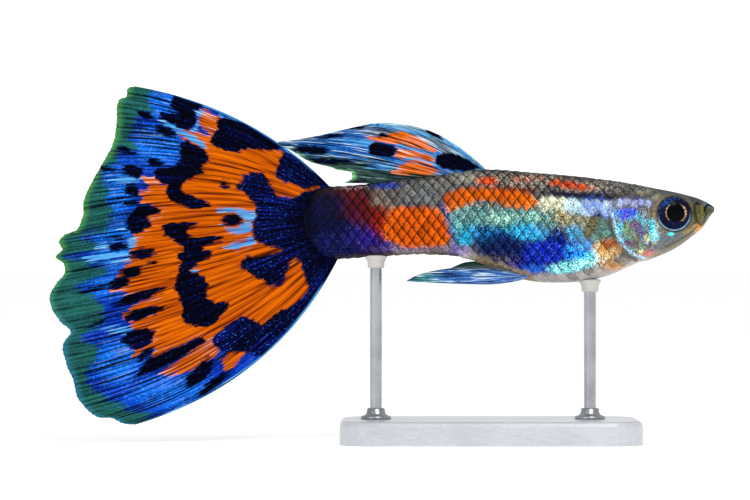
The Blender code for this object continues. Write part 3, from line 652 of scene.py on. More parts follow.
# Grains of other colours, scattered among the paint all over these areas.
GRAIN_MARKS = [
    (seen(6, 16, 66), 0.6, 0.8, 0.0, [(-13.00, 18.08, 2.83, 2.67)]),
    (seen(66, 18, 34), 0.5, 0.6, 0.0, [(-10.67, 19.42, 1.67, 1.33)]),
    (seen(36, 32, 70), 0.4, 0.9, 0.0, [(-6.50, 20.75, 3.67, 1.17), (-1.67, 21.92, 1.83, 0.67)]),
    (seen(24, 64, 176), 0.15, 0.8, 0.0, [(-8.50, 21.42, 1.00, 0.23)]),
    (seen(206, 176, 184), 0.08, 0.6, 0.0, [(-11.50, 21.29, 1.17, 0.12, 2)]),
    (seen(180, 168, 148), 0.4, 0.7, 0.0, [(1.67, 21.92, 5.00, 0.58), (9.17, 21.42, 3.67, 0.50)]),
    (seen(176, 54, 2), 0.15, 0.6, 0.0, [(-6.00, 18.08, 2.50, 1.50), (-0.33, 20.42, 3.67, 0.83)]),
    (seen(216, 72, 12), 0.15, 0.95, 0.0, [
        (-0.25, 21.83, 0.83, 0.33), (5.50, 21.67, 0.58, 0.25), (6.50, 21.50, 0.67, 0.28),
        (7.58, 21.33, 0.58, 0.25),
    ]),
    (seen(134, 126, 88), 0.4, 0.6, 0.0, [(0.00, 19.08, 3.67, 1.00), (4.83, 18.42, 1.33, 1.00)]),
    (seen(170, 214, 190), 0.3, 0.5, 0.0, [(0.83, 18.75, 1.00, 0.42), (3.42, 18.92, 0.75, 0.42)]),
    (seen(24, 128, 196), 0.4, 0.7, 0.0, [(-1.00, 17.42, 1.83, 0.58), (3.33, 17.42, 2.00, 0.50)]),
    (seen(12, 26, 62), 0.5, 0.7, 0.0, [(0.67, 16.33, 2.00, 1.00)]),
    (seen(132, 116, 76), 0.3, 0.5, 0.0, [(0.33, 15.08, 1.83, 0.58)]),
    (seen(2, 16, 122), 0.4, 0.8, 0.0, [(4.67, 16.08, 1.67, 1.00)]),
    (seen(44, 168, 248), 0.4, 0.8, 0.0, [(7.50, 16.08, 1.25, 1.00)]),
    (seen(196, 252, 255), 0.2, 0.85, 0.0, [(7.00, 14.83, 2.17, 0.42, 8)]),
    (seen(168, 176, 140), 0.3, 0.7, 0.0, [(5.00, 19.75, 1.33, 0.75)]),
    (seen(140, 210, 236), 0.3, 0.8, 0.0, [(6.83, 19.58, 0.83, 0.75)]),
    (seen(34, 96, 212), 0.3, 0.85, 0.0, [(8.50, 19.67, 1.17, 0.75), (9.67, 19.25, 0.67, 0.58)]),
    (seen(30, 34, 112), 0.3, 0.9, 0.0, [(11.83, 20.00, 1.67, 0.50)]),
    (seen(206, 190, 128), 0.3, 0.6, 0.0, [(6.17, 18.75, 1.00, 0.67), (7.33, 18.42, 0.67, 0.50)]),
    (seen(84, 140, 140), 0.3, 0.7, 0.0, [(9.33, 17.75, 0.42, 0.83, 15)]),
    (seen(150, 70, 34), 0.3, 0.6, 0.0, [(9.83, 16.42, 1.00, 0.58)]),
    (seen(24, 50, 226), 0.2, 0.8, 0.0, [(11.25, 19.08, 1.00, 0.42)]),
    (seen(96, 190, 206), 0.2, 0.5, 0.0, [(10.67, 18.25, 0.25, 1.08, 10), (12.42, 18.83, 0.50, 0.42)]),
    (seen(82, 74, 72), 0.3, 0.9, 0.0, [(11.92, 17.42, 1.08, 1.42)]),
    (seen(84, 60, 104), 0.2, 0.7, 0.0, [(12.17, 17.92, 0.58, 0.50, -40)]),
    (seen(176, 200, 216), 0.2, 0.5, 0.0, [(13.75, 17.58, 0.33, 1.00, -10)]),
    (seen(88, 92, 88), 0.4, 0.6, 0.0, [(13.33, 20.83, 3.33, 0.58, -12)]),
]


# An oval dab on the shoulder, where the edges of the scales show less.
SHOULDER = (7.08, 19.75, 2.83, 0.75)


def max_of(x, z, shapes):
    """Distance inside the nearest of several shapes."""
    return np.max([in_shape(x, z, shape) for shape in shapes], axis=0)


def lay(colour, tone, mask):
    """Lays a tone over a field of colours, as thick as its mask."""
    colour += mask[..., None] * (np.array(tone[:3]) - colour)


def lay_marks(colour, glitter, x, z, marks):
    """Lays painted marks over a field of colours, in their order."""
    for tone, soft, strength, shine, shapes in marks:
        mask = strength * ease(-soft, soft, max_of(x, z, shapes))
        lay(colour, tone, mask)
        glitter = glitter + mask * (shine - glitter)
    return colour, glitter


def dark_end(colour, x):
    """Darkens the paint of the stem toward the tail's dark root."""
    return colour * (1 - 0.65 * ease(-13.6, -15.4, x))[..., None]


def paint_body(x, z, spread=0.10):
    """The body's paint at places seen from the side, the same on both sides.

    It gives the colour, and how strong the net of scale edges, the glitter and the grain are.
    """
    spread = spread * (1 - 0.7 * ease(13.0, 14.0, x))
    wx = x + spread * rough(x, z, 0.45, 1) + 0.5 * spread * rough(x, z, 0.16, 2)
    wz = z + spread * rough(x, z, 0.45, 3) + 0.5 * spread * rough(x, z, 0.16, 4)
    low, high = body_limits(x)
    share = np.clip((wz - low) / (high - low), 0, 1)
    colour = np.zeros(np.shape(x) + (3,))
    glitter = np.zeros(np.shape(x))
    for i in range(3):
        tones = [tone[i] for level, tone in BODY_TONES]
        colour[..., i] = np.interp(share, [level for level, tone in BODY_TONES], tones)
    colour, glitter = lay_marks(colour, glitter, wx, wz, BODY_MARKS)
    colour, glitter = lay_marks(colour, glitter, x, z, FINE_LINES_AND_GROOVE_SHADE)
    colour = dark_end(colour, x)
    net = ease(13.2, 12.0, x) * ease(0.05, 0.16, share) * ease(-14.5, -11.0, x)
    net = net * (1 - 0.5 * ease(-0.3, 0.5, in_dab(x, z, SHOULDER)))
    net = net * (1 - 0.45 * glitter) * (1 - 0.45 * ease(4.0, 10.0, x))
    smooth = np.maximum(0.75 * ease(13.0, 14.2, x), ease(0.16, 0.06, share) * ease(-4.0, 1.0, x))
    nape = ease(6.0, 12.0, x) * ease(0.72, 0.86, share)
    grain = (1 - 0.72 * smooth) * (1 - 0.6 * ease(-9.0, -12.5, x)) * (1 - 0.5 * nape)
    return colour, {"net": net, "glitter": glitter, "grain": grain}


def paint_grains(x, z):
    """The other grains: the paint from a little way off, and flecks of colours of their own."""
    aside = 0.08 * (1 - 0.85 * ease(13.0, 14.2, x))
    colour = paint_body(x + aside, z + aside, 0.15)[0]
    wx = x + 0.15 * rough(x, z, 0.5, 5)
    wz = z + 0.15 * rough(x, z, 0.5, 6)
    colour = lay_marks(colour, 0 * x, wx, wz, GRAIN_MARKS)[0]
    colour = dark_end(colour, x)
    return lay_marks(colour, 0 * x, x, z, FINE_LINES_AND_GROOVE_SHADE)[0]


SKIN_SIDES, STEM_RINGS, HEAD_RINGS, HEAD_START = 161, 245, 175, 10.0
# The mouth closes in smaller rings, each at a place past the snout and of a share of size.
MOUTH_RINGS = [(-0.06, 0.92), (-0.02, 0.80), (0.02, 0.55), (0.03, 0.20)]


def ring_places():
    """Where the rings of the skin stand: close together at the head, for its detail."""
    stem_end = HYPURAL_X - HYPURAL_LENGTH + 0.01
    stem = np.linspace(stem_end, HEAD_START, STEM_RINGS, endpoint=False)
    head = np.linspace(HEAD_START, SNOUT_X - 0.10, HEAD_RINGS)
    return np.concatenate([stem, head])


def outward(points):
    """Directions square to a grid of points, from its own neighbours."""
    along = np.gradient(points, axis=0)
    around = np.gradient(points, axis=1)
    normal = np.cross(along, around)
    return normal / np.maximum(np.linalg.norm(normal, axis=-1, keepdims=True), 1e-9)


def smaller(ring, share):
    """A ring of points drawn in toward its middle."""
    middle = ring.mean(0)
    return middle + (ring - middle) * share


ring_x = ring_places()
turns = np.linspace(-np.pi / 2, 3 * np.pi / 2, SKIN_SIDES)
skin = body_point(ring_x[:, None], turns[None, :])
normal = outward(skin)
normal[:, 0] = normal[:, -1] = (0, 0, -1)
flat_x, flat_z, facing = skin[..., 0], skin[..., 2], np.abs(normal[..., 1])
lift = relief(flat_x, flat_z) * ease(0.03, 0.25, facing)
lift = lift - COAT_DEPTH * ease(12.6, 11.0, flat_x)
skin = skin + normal * lift[..., None]
skin[..., 1] *= 1 - 0.35 * ease(-13.5, -15.6, flat_x)
side = np.sign(skin[..., 1])
skin[..., 1] += side * eye_ring(flat_x, flat_z) * (np.abs(skin[..., 1]) > 0.6)
tip = []
for past, share in MOUTH_RINGS:
    ring = smaller(skin[-1], share)
    ring[:, 0] = SNOUT_X + past
    tip.append(ring)
skin = np.concatenate([smaller(skin[0], 0.3)[None], skin, np.array(tip)])
rows, columns = skin.shape[0], SKIN_SIDES - 1
closed = skin[:, :-1].reshape(-1, 3)
parts = [grid(rows, columns, True)]
round_spots = np.stack([np.cos(turns[:-1]), np.sin(turns[:-1])], -1)[None] * 0.002 + 0.003
last = (rows - 1) * columns
parts.append((np.arange(columns)[None, ::-1], round_spots))
parts.append((last + np.arange(columns)[None], round_spots))
paint, fields = paint_body(closed[:, 0], closed[:, 2])
fields["rim"] = 0 * closed[:, 0]
paint_near = paint_grains(closed[:, 0], closed[:, 2])


def body_look(name):
    """Painted resin skin: two painted colours in mixed grains, glitter with painted glints, and scale
    edges.
    """
    made, w = new_material(name)
    place = w.place()

    grains = w.noise(place, 4300.0, 2.0, 0.6)
    flecks = w.noise(place, 9000.0, 2.0, 0.6)
    fine = w.noise(place, 26000.0, 2.0, 0.6)
    mixed = (grains * 0.45 + flecks * 0.55).ease(0.46, 0.54)
    colour = mixed.mix(w.own("paint", "Color"), w.own("paint_near", "Color"))
    grain = w.own("grain")
    light = (flecks * 0.5 + grains * 0.3 + fine * 0.2).ease(0.36, 0.64)
    colour = colour.shade((light - 0.6) * (grain * (w.own("glitter") * 0.6 + 0.9)) + 1.0)
    # Painted highlights: glints and sparks of light painted into the colour where the skin glitters.
    glint = (flecks * 0.7 + fine * 0.3 - w.own("rim") * 0.05).ease(0.53, 0.63) * w.own("glitter")
    colour = (glint * 0.75).mix(colour, colour.shade(2.8))
    spark = grains.ease(0.44, 0.56).mix(seen(236, 226, 176), seen(140, 224, 250))
    colour = (glint * w.own("glitter") * 0.38).mix(colour, spark)
    pits = (grains * 0.4 + flecks * 0.6).ease(0.46, 0.36)
    colour = (pits * grain * 0.75).mix(colour, colour.shade(0.14))
    rim = w.own("rim")
    colour = colour.shade(1.22 - rim * (rim + 0.3) * w.own("net") * 0.62)
    edge = (rim + (flecks - 0.5) * 0.5).ease(0.55, 1.0) * w.own("net")
    colour = (edge * 0.92).mix(colour, colour.shade(0.12))
    w.surface({
        "Base Color": colour,
        "Roughness": 0.46 - glint * 0.16 + fine * 0.08,
        "Specular IOR Level": 0.03,
        "Metallic": w.own("glitter") * 0.12,
        "Normal": w.bump(flecks * 0.6 + fine * 0.4, 0.03 * MM, 0.5),
    })
    return made


skin_look = body_look("painted_skin")
body = mesh_piece(
    "body_skin", closed, parts, skin_look,
    fields, {"paint": paint, "paint_near": paint_near},
)
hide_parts("head", "lower_jaw", "trunk", "tail_stem")


# Scales: thin overlapping plates of the same resin on the trunk and the tail stem, in rows
# from the gill covers back, each with its root under the plates before it.
ROW_LINE = curve_through([
    (-15.8, 18.40), (-12.0, 18.42), (-6.25, 18.58), (1.0, 19.17), (6.0, 19.25), (13.0, 19.6),
])
SCALE_PITCH, ROW_PITCH = 0.83, 1.12
SCALE_LENGTH, SCALE_HALF_HEIGHT = 1.35, 0.74
SCALE_POINTS = 10
SCALE_THICK, SCALE_ROOT, SCALE_LIFT = 0.035, -0.040, 0.050
SCALE_UNWRAP = 0.003
SCALES_START_X, SCALES_END_X, ROWS_EACH_WAY = HYPURAL_X - HYPURAL_LENGTH + 1.0, 12.9, 6
# A plate takes its paint from places this share of the way to its middle.
TOWARD_MIDDLE = 0.35


def plate_outline(count):
    """A rounded plate on a square of points: how far back and how far up each point is."""
    s = np.linspace(-1, 1, count)
    back, up = np.meshgrid(s, s, indexing="ij")
    round_back = back * (1 - 0.60 * np.abs(up) ** 1.2)
    round_up = up * np.sqrt(1 - 0.30 * back**2)
    return round_back, round_up, np.maximum(np.abs(back), np.abs(up))


def border_of(index):
    """The points round the edge of a grid of point numbers, in order."""
    return np.concatenate([index[0, :-1], index[:-1, -1], index[-1, :0:-1], index[:0:-1, 0]])


class RowMap:
    """Finds the body's surface by distance along it and distance up it from a line."""

    def __init__(self):
        self.turns = np.linspace(-np.pi / 2, np.pi / 2, 361)

    def find(self, x, up):
        """Points and directions out of the surface for one x and several distances up."""
        ring = body_point(np.array([x - 0.01, x, x + 0.01])[:, None], self.turns[None])
        step = np.linalg.norm(np.diff(ring[1], axis=0), axis=-1)
        gone = np.concatenate([[0], np.cumsum(step)])
        lateral = np.interp(ROW_LINE(x), ring[1][:, 2], gone)
        where = np.clip(lateral + up, 0, gone[-1])
        normal = np.cross(ring[2] - ring[0], np.gradient(ring[1], axis=0))
        normal /= np.maximum(np.linalg.norm(normal, axis=-1, keepdims=True), 1e-9)
        normal *= np.sign(np.sum(normal * (ring[1] - ring[1].mean(0)), -1, keepdims=True))

        def pick(values):
            return np.stack([np.interp(where, gone, values[:, i]) for i in range(3)], -1)

        return pick(ring[1]), pick(normal), lateral, gone[-1] - lateral


surface = RowMap()
plate_back, plate_up, plate_rim = plate_outline(SCALE_POINTS)
plates = {"points": [], "rim": [], "middle": [], "spots": []}
column = 0
x = SCALES_START_X
while x < SCALES_END_X:
    below, above = surface.find(x, np.zeros(1))[2:]
    for row in range(-ROWS_EACH_WAY, ROWS_EACH_WAY + 1):
        middle_up = (row + (0.5 if column % 2 else 0.0)) * ROW_PITCH
        if middle_up < -below + 0.30 or middle_up > above - 0.16:
            continue
        spot = surface.find(x, np.array([middle_up]))[0][0]
        if x > np.interp(spot[2], GILL_LEVELS, GILL_XS) - 0.55 and spot[2] < 20.9:
            continue
        if spot[2] < belly_z(x) + 0.55 and x > 2.0:
            continue
        high = min(SCALE_HALF_HEIGHT, above - middle_up - 0.01)
        low = min(SCALE_HALF_HEIGHT, below + middle_up - 0.01)
        top = np.empty((SCALE_POINTS, SCALE_POINTS, 3))
        out = np.empty_like(top)
        for i in range(SCALE_POINTS):
            lift_up = plate_up[i] * np.where(plate_up[i] > 0, high, low) + middle_up
            shift = plate_back[i].mean()
            found = surface.find(x - shift * SCALE_LENGTH / 2, lift_up)
            top[i], out[i] = found[0], found[1]
        top[..., 0] = x - plate_back * SCALE_LENGTH / 2
        share = (plate_back + 1) / 2
        stand = SCALE_ROOT + (SCALE_LIFT - SCALE_ROOT) * share - 0.02 * plate_rim**4
        upper = top + out * stand[..., None]
        lower = top + out * (stand - SCALE_THICK)[..., None]
        plates["points"].append(np.concatenate([upper.reshape(-1, 3), lower.reshape(-1, 3)]))
        hind_edge = plate_rim * ease(-0.9, 0.1, plate_back)
        plates["rim"].append(np.tile(hind_edge.ravel(), 2))
        plates["middle"].append(np.tile([x - 0.25, spot[2]], (2 * SCALE_POINTS**2, 1)))
        along = np.interp(x, ring_x, np.linspace(0.0, 1.0, len(ring_x)))
        plates["spots"].append((along, 0.5 * (middle_up + below) / (above + below)))
    x += SCALE_PITCH / 2
    column += 1

count = len(plates["points"])
size = SCALE_POINTS**2
top_faces, top_spots = grid(SCALE_POINTS, SCALE_POINTS)
index = np.arange(size).reshape(SCALE_POINTS, SCALE_POINTS)
border = border_of(index)
following = np.roll(border, -1)
rim_faces = np.stack([border, following, following + size, border + size], -1)
plate_faces = np.concatenate([top_faces[:, ::-1], top_faces + size, rim_faces])
rim_spots = np.tile(np.array([[0, 0], [0.02, 0], [0.02, 0.02], [0, 0.02]]), (len(border), 1, 1))
plate_spots = np.concatenate([top_spots[:, ::-1], top_spots, rim_spots])
points = np.concatenate(plates["points"])
rims = np.concatenate(plates["rim"])
middles = np.concatenate(plates["middle"])
faces = np.concatenate([plate_faces + 2 * size * i for i in range(count)])
spots = np.concatenate([plate_spots * SCALE_UNWRAP + np.array(spot) for spot in plates["spots"]])
middle_x = points[:, 0] + TOWARD_MIDDLE * (middles[:, 0] - points[:, 0])
middle_z = points[:, 2] + TOWARD_MIDDLE * (middles[:, 1] - points[:, 2])
paint, fields = paint_body(middle_x, middle_z)
fields["rim"] = rims
paint_near = paint_grains(points[:, 0], points[:, 2])
tint = 1 + 0.16 * np.random.default_rng(7).normal(size=count).clip(-2, 2)
tint = np.repeat(tint, 2 * size) * (1 + 0.14 * np.tile(plate_up.ravel(), 2 * count))
paint, paint_near = paint * tint[:, None], paint_near * tint[:, None]
for name, side in (("scales_right", 1), ("scales_left", -1)):
    shell = points * np.array([1, side, 1])
    part = (faces, spots)
    if side < 0:
        part = flipped((faces, np.array([0, 1]) + spots * (1, -1)))
    mesh_piece(
        name, shell, [part], skin_look,
        fields, {"paint": paint, "paint_near": paint_near},
    )


# Eyes: two glass-clear domes over painted irises, set in the eye cups of the skin; a black
# pupil, a thin gold ring broken above and below, and a navy iris with blue glints.
EYE_SET_BACK, EYE_DOME = 0.16, 0.42
PUPIL_X, PUPIL_Z, PUPIL_RADIUS = 15.33, 19.16, 0.73
eye_look, w = new_material("painted_eye")
right_of, above = w.own("right"), w.own("up")
reach = w.own("reach")
wobble = w.noise(w.place(), 2600.0, 3.0, 0.6)
fine = w.noise(w.place(), 12000.0, 2.0)
iris = (wobble * 0.7 + fine * 0.3).ease(0.42, 0.68).mix(seen(8, 10, 28), seen(18, 28, 78))
glints = (fine * 0.5 + wobble * 0.5 + above * 0.10 - right_of * 0.07).ease(0.60, 0.74)
iris = (glints * 0.7).mix(iris, seen(40, 104, 190))
around = w.own("pupil") + (wobble - 0.5) * 0.06
sides = (around - right_of.ease(0.3, 0.8) * 0.10).ease(0.87, 0.80)
sides = around.ease(PUPIL_RADIUS, PUPIL_RADIUS + 0.04) * sides
gold = sides * right_of.maths("ABSOLUTE").ease(0.30, 0.74) * (fine + wobble).ease(0.84, 1.12)
ring_tone = fine.ease(0.4, 0.62).mix(seen(150, 88, 40), seen(255, 216, 150))
iris = gold.mix(iris, ring_tone)
pupil = w.own("pupil").ease(PUPIL_RADIUS + 0.06, PUPIL_RADIUS)
iris = pupil.mix(iris, seen(1, 2, 6))
lower_rim = reach.ease(1.24, 1.36) * above.ease(0.2, -0.9)
iris = (lower_rim * fine.ease(0.25, 0.6)).mix(iris, seen(150, 196, 224))
# Painted shade: the iris darkens to brown at its outer edge, where the eye sits in its cup.
eye_edge_shade = reach.ease(1.34, 1.43)
iris = (eye_edge_shade * 0.7).mix(iris, seen(54, 46, 40))
w.surface({
    "Base Color": iris,
    "Roughness": 0.36 - gold * 0.1,
    "Metallic": gold * 0.5,
    "Specular IOR Level": 0.02,
    "Coat Weight": 0.05,
    "Coat Roughness": 0.02,
    "Normal": w.bump(wobble * 0.5 + fine * 0.5, 0.02 * MM, 0.4),
})
EYE_ROWS, EYE_SIDES = 40, 96
share = np.linspace(0.0, 1.0, EYE_ROWS)[:, None]
angle = np.linspace(0, 2 * np.pi, EYE_SIDES, endpoint=False)[None]
eye_x = EYE_X + EYE_RADIUS * share * np.cos(angle)
eye_z = EYE_Z + EYE_RADIUS * share * np.sin(angle)
front = side_y(EYE_X + 0.6 * (eye_x - EYE_X), EYE_Z + 0.5 * (eye_z - EYE_Z))
front = front - EYE_SET_BACK + EYE_DOME * (1 - share**2)
behind = front[-1:] - 0.30 * np.sqrt(1 - share[::-1] ** 2)
depth = np.concatenate([front, behind[1:] + 0 * front[1:]])
across = np.concatenate([eye_x, eye_x[::-1][1:]])
height = np.concatenate([eye_z, eye_z[::-1][1:]])
values = {
    "right": across - PUPIL_X, "up": height - PUPIL_Z,
    "reach": np.hypot(across - EYE_X, height - EYE_Z),
    "pupil": np.hypot(across - PUPIL_X, height - PUPIL_Z),
}
values = {key: numbers.ravel() for key, numbers in values.items()}
for name, side in (("eye_ball_right", -1), ("eye_ball_left", 1)):
    ball = np.stack([across, side * depth, height], -1)
    part = grid(len(depth), EYE_SIDES, True)
    if side > 0:
        part = flipped(part)
    made = mesh_piece(name, ball.reshape(-1, 3), [part], eye_look, values)
    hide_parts(name.replace("eye_ball", "eye"))


# Tail fin: a thin web on bony rays that fork twice on the way to a frayed edge, cast in
# tinted resin in the swimming fish's folds, painted along its rays and glued in the stem.
FIN_GAP = 0.3


def path_through(points):
    """A smooth path; its share runs by the straight distances between the points."""
    points = np.array(points, float)
    gone = np.concatenate([[0], np.cumsum(np.hypot(*np.diff(points, axis=0).T))])
    share = gone / gone[-1]
    run = curve_through(list(zip(share, points[:, 0])))
    rise = curve_through(list(zip(share, points[:, 1])))
    return lambda u: (run(u), rise(u))


def hypural_point(turn, extra):
    """A place round the rounded end of the stem, or some way out from it."""
    return (
        HYPURAL_X - (HYPURAL_LENGTH + extra) * np.cos(turn),
        HYPURAL_Z + (HYPURAL_HEIGHT + extra) * np.sin(turn),
    )


def fan_surface(u, v, root, margin, turn, reach):
    """Places on a fin seen from the side: u runs over its rays, v from root to edge."""
    start, end = root(u), margin(u)
    length = np.hypot(end[0] - start[0], end[1] - start[1])
    ray_turn = np.radians(turn[0] + (turn[1] - turn[0]) * u)
    bend = (reach[0] + (reach[1] - reach[0]) * u) * length
    middle = (start[0] - bend * np.cos(ray_turn), start[1] + bend * np.sin(ray_turn))
    shares = ((1 - v) ** 2, 2 * v * (1 - v), v**2)
    return [sum(s * p[i] for s, p in zip(shares, (start, middle, end))) for i in (0, 1)]


def ray_crest(u, v, rays, forks):
    """Height of the rays, 0 to 1, each splitting in two where a fork ends."""
    crest = 0.5 + 0.5 * np.cos(2 * np.pi * rays * u)
    for low, high in forks:
        rays = rays * 2
        split = ease(low, high, v)
        crest = crest * (1 - split) + split * (0.5 - 0.5 * np.cos(2 * np.pi * rays * u + np.pi))
    return crest


def fin_piece(
    name, node, u_count, v_count, shape, sway, rays, forks, depths, marks, look, fray,
    sunk=0.0,
):
    """A closed thin fin: its web, its rays as ridges, and its painted fields.

    The shape is the fan's root, edge, turns and reaches. The depths are the web's thickness
    at its root and its edge, and the rays' height. Fray is how deep the edge is torn and
    sunk is how far the root runs on into the body, as shares of a ray's length.
    """
    u, v = np.meshgrid(np.linspace(0, 1, u_count), np.linspace(0, 1, v_count), indexing="ij")
    notch = np.abs(np.sin(np.pi * rays * 2 ** len(forks) * u))
    torn = rough(u * 40, u * 0, 1.3, 11) * 0.5 + rough(u * 160, u * 0, 1.6, 12) * 0.5
    reach_out = v * (1 - fray * (0.6 * notch + 0.5 + 0.5 * torn) * ease(0.8, 1.0, v))
    x, z = fan_surface(u, reach_out * (1 + sunk) - sunk, *shape)
    y = sway(u, v, x)
    web = np.stack([x, y, z], -1)
    normal = outward(web)
    crest = ray_crest(u, v, rays, forks)
    thick = depths[0] + (depths[1] - depths[0]) * np.clip(v / 0.35, 0, 1) ** 0.7
    edge = ease(0.0, 0.012, u) * ease(1.0, 0.988, u) * ease(1.0, 0.975, v)
    half = (thick * (0.35 + 0.65 * edge) + depths[2] * crest * (1 - 0.55 * v) * edge) / 2
    front, back = web + normal * half[..., None], web - normal * half[..., None]
    total = u_count * v_count
    faces, spots = grid(u_count, v_count)
    index = np.arange(total).reshape(u_count, v_count)
    border = border_of(index)
    after = np.roll(border, -1)
    rim = np.stack([border + total, after + total, after, border], -1)
    strip = np.linspace(0, 0.98, len(border))[:, None] + np.array([0, 0.002, 0.002, 0])
    strip = np.stack([strip, np.array([0.99, 0.99, 1.0, 1.0]) + 0 * strip], -1)
    half_map = spots * np.array([0.48, 0.97])
    far_side = flipped((faces + total, half_map + np.array([0.5, 0])))
    parts = [(faces, half_map), far_side, (rim, strip)]
    fields, colour = marks(u, v, x, z)
    blank = np.zeros(x.shape)
    values = {key: blank - 9.0 for key in ("dark", "orange", "pale", "teal")}
    values.update({key: blank for key in ("shore", "lines", "green", "whites", "shine", "silver")})
    values.update(fields, u=u, v=v, crest=crest)
    values = {key: np.tile(numbers.ravel(), 2) for key, numbers in values.items()}
    points = np.concatenate([front.reshape(-1, 3), back.reshape(-1, 3)])
    paint = {"paint": np.tile(colour.reshape(-1, 3), (2, 1))}
    made = mesh_piece(name, points, parts, look, values, paint)
    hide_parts(node)


def fin_look(name, lines, jag, clear=0.0, fire=(222, 106, 4)):
    """Painted web: fields of orange, pale and black with brushed edges, over its colour.

    Lines is how many strokes stand side by side, jag is how far they carry an edge in
    millimetres, clear is how see-through the web is, and fire is the orange's light tone.
    """
    made, w = new_material(name)
    u, v = w.own("u"), w.own("v")

    def strokes(across, along, detail):
        where = w.node("ShaderNodeCombineXYZ", {}, {0: u * across, 1: v * along})
        return w.noise(where, 1.0, detail, 0.6)

    broad = strokes(lines * 0.35, 3.0, 2.0)
    brushed = strokes(lines, 2.8, 3.0)
    thin = strokes(lines * 2.3, 3.5, 2.0)
    beads = strokes(lines * 1.5, 95.0, 1.0)
    crest = w.own("crest")
    streak = (thin * 0.4 + brushed * 0.5 + crest * 0.1).ease(0.36, 0.62)
    edge = (brushed - 0.5) * jag + (thin - 0.5) * (jag * 1.3)
    gaps = (thin * 0.55 + brushed * 0.33 + crest * 0.12).ease(0.47, 0.37)
    bead = beads.ease(0.54, 0.68) * (streak * 0.7 + 0.3)

    base = w.own("paint", "Color").shade(streak * 0.95 + broad * 0.36 - 0.10)
    base = (bead * w.own("shine") * 0.4).mix(base, seen(90, 190, 255))
    base = (gaps * 0.92).mix(base, base.shade(0.05))
    base = (thin.ease(0.54, 0.66) * w.own("silver")).mix(base, seen(214, 236, 248))

    teal_far = (streak * 0.75 + broad * 0.4 - 0.1).mix(seen(4, 22, 28), seen(38, 104, 92))
    rim = w.own("green").mix(seen(46, 122, 146), seen(72, 146, 78))
    teal_near = streak.mix(rim.shade(0.5), rim)
    teal = (w.own("shore") + (brushed - 0.5) * 0.5).ease(0.42, 0.0).mix(teal_far, teal_near)
    teal = (bead * 0.4 * w.own("shore")).mix(teal, seen(40, 140, 190))
    teal = (gaps * 0.65).mix(teal, teal.shade(0.25))
    base = (w.own("teal") + (brushed - 0.5) * 2.2 + (thin - 0.5) * 1.6).ease(-0.25, 0.30).mix(base, teal)

    flame = streak.mix(seen(110, 28, 0), seen(*fire))
    flame = (broad.ease(0.35, 0.65) * 0.3).mix(flame, seen(170, 60, 0))
    flame = (gaps * 0.92).mix(flame, seen(46, 14, 2))
    flame = (thin.ease(0.54, 0.66) * w.own("whites")).mix(flame, seen(250, 226, 228))
    base = (w.own("orange") + edge).ease(-0.04, 0.05).mix(base, flame)
    snow = streak.mix(seen(14, 84, 168), seen(84, 168, 224))
    snow = (thin.ease(0.56, 0.68) * 0.6).mix(snow, seen(206, 228, 240))
    base = ((w.own("pale") + edge).ease(-0.06, 0.08) * (streak * 0.12 + 0.88)).mix(base, snow)
    ink = w.own("lines").mix(seen(1, 1, 8), seen(2, 3, 26))
    ink = (thin.ease(0.54, 0.66) * w.own("lines")).mix(ink, seen(12, 26, 140))
    ink = (beads.ease(0.58, 0.70) * thin.ease(0.45, 0.6) * w.own("lines")).mix(ink, seen(44, 104, 220))
    base = (w.own("dark") + edge * 0.8).ease(-0.04, 0.04).mix(base, ink)
    sockets = {
        "Base Color": base,
        "Roughness": 0.5 - bead * 0.15,
        "Specular IOR Level": 0.015,
        "Normal": w.bump(crest * 0.2 + brushed * 0.3 + thin * 0.4 + beads * 0.1, 0.05 * MM, 0.6),
    }
    if clear:
        sockets["Alpha"] = 1.0 - clear * (1.0 - crest.ease(0.5, 1.0) * 0.3)
    w.surface(sockets)
    return made


TAIL_MARGIN = [
    (-29.67, 29.75), (-30.25, 29.58), (-30.42, 28.85), (-31.00, 28.62), (-31.15, 27.90),
    (-31.20, 26.60), (-31.45, 25.10), (-32.35, 23.30), (-33.20, 21.70), (-33.85, 20.20),
    (-33.95, 18.90), (-34.70, 17.55), (-35.55, 17.30), (-36.00, 16.75), (-35.70, 16.10),
    (-36.25, 15.50), (-35.60, 14.95), (-35.50, 14.25), (-36.20, 13.30), (-36.78, 12.30),
    (-36.70, 11.40), (-36.00, 10.20), (-35.02, 9.15), (-35.60, 8.30), (-35.40, 6.80),
    (-34.75, 5.10), (-34.50, 3.90), (-33.70, 2.80), (-32.75, 2.12), (-31.60, 2.05),
    (-30.70, 1.62), (-29.67, 1.50),
]
TAIL_ROOT_TURN, TAIL_RAY_TURN, TAIL_RAY_REACH = (72, -90), (45.0, -62.5), (0.50, 0.53)
TAIL_RAYS, TAIL_FORKS = 22, ((0.22, 0.34), (0.48, 0.62))
FAN_X, FAN_Z = -12.08, 18.42
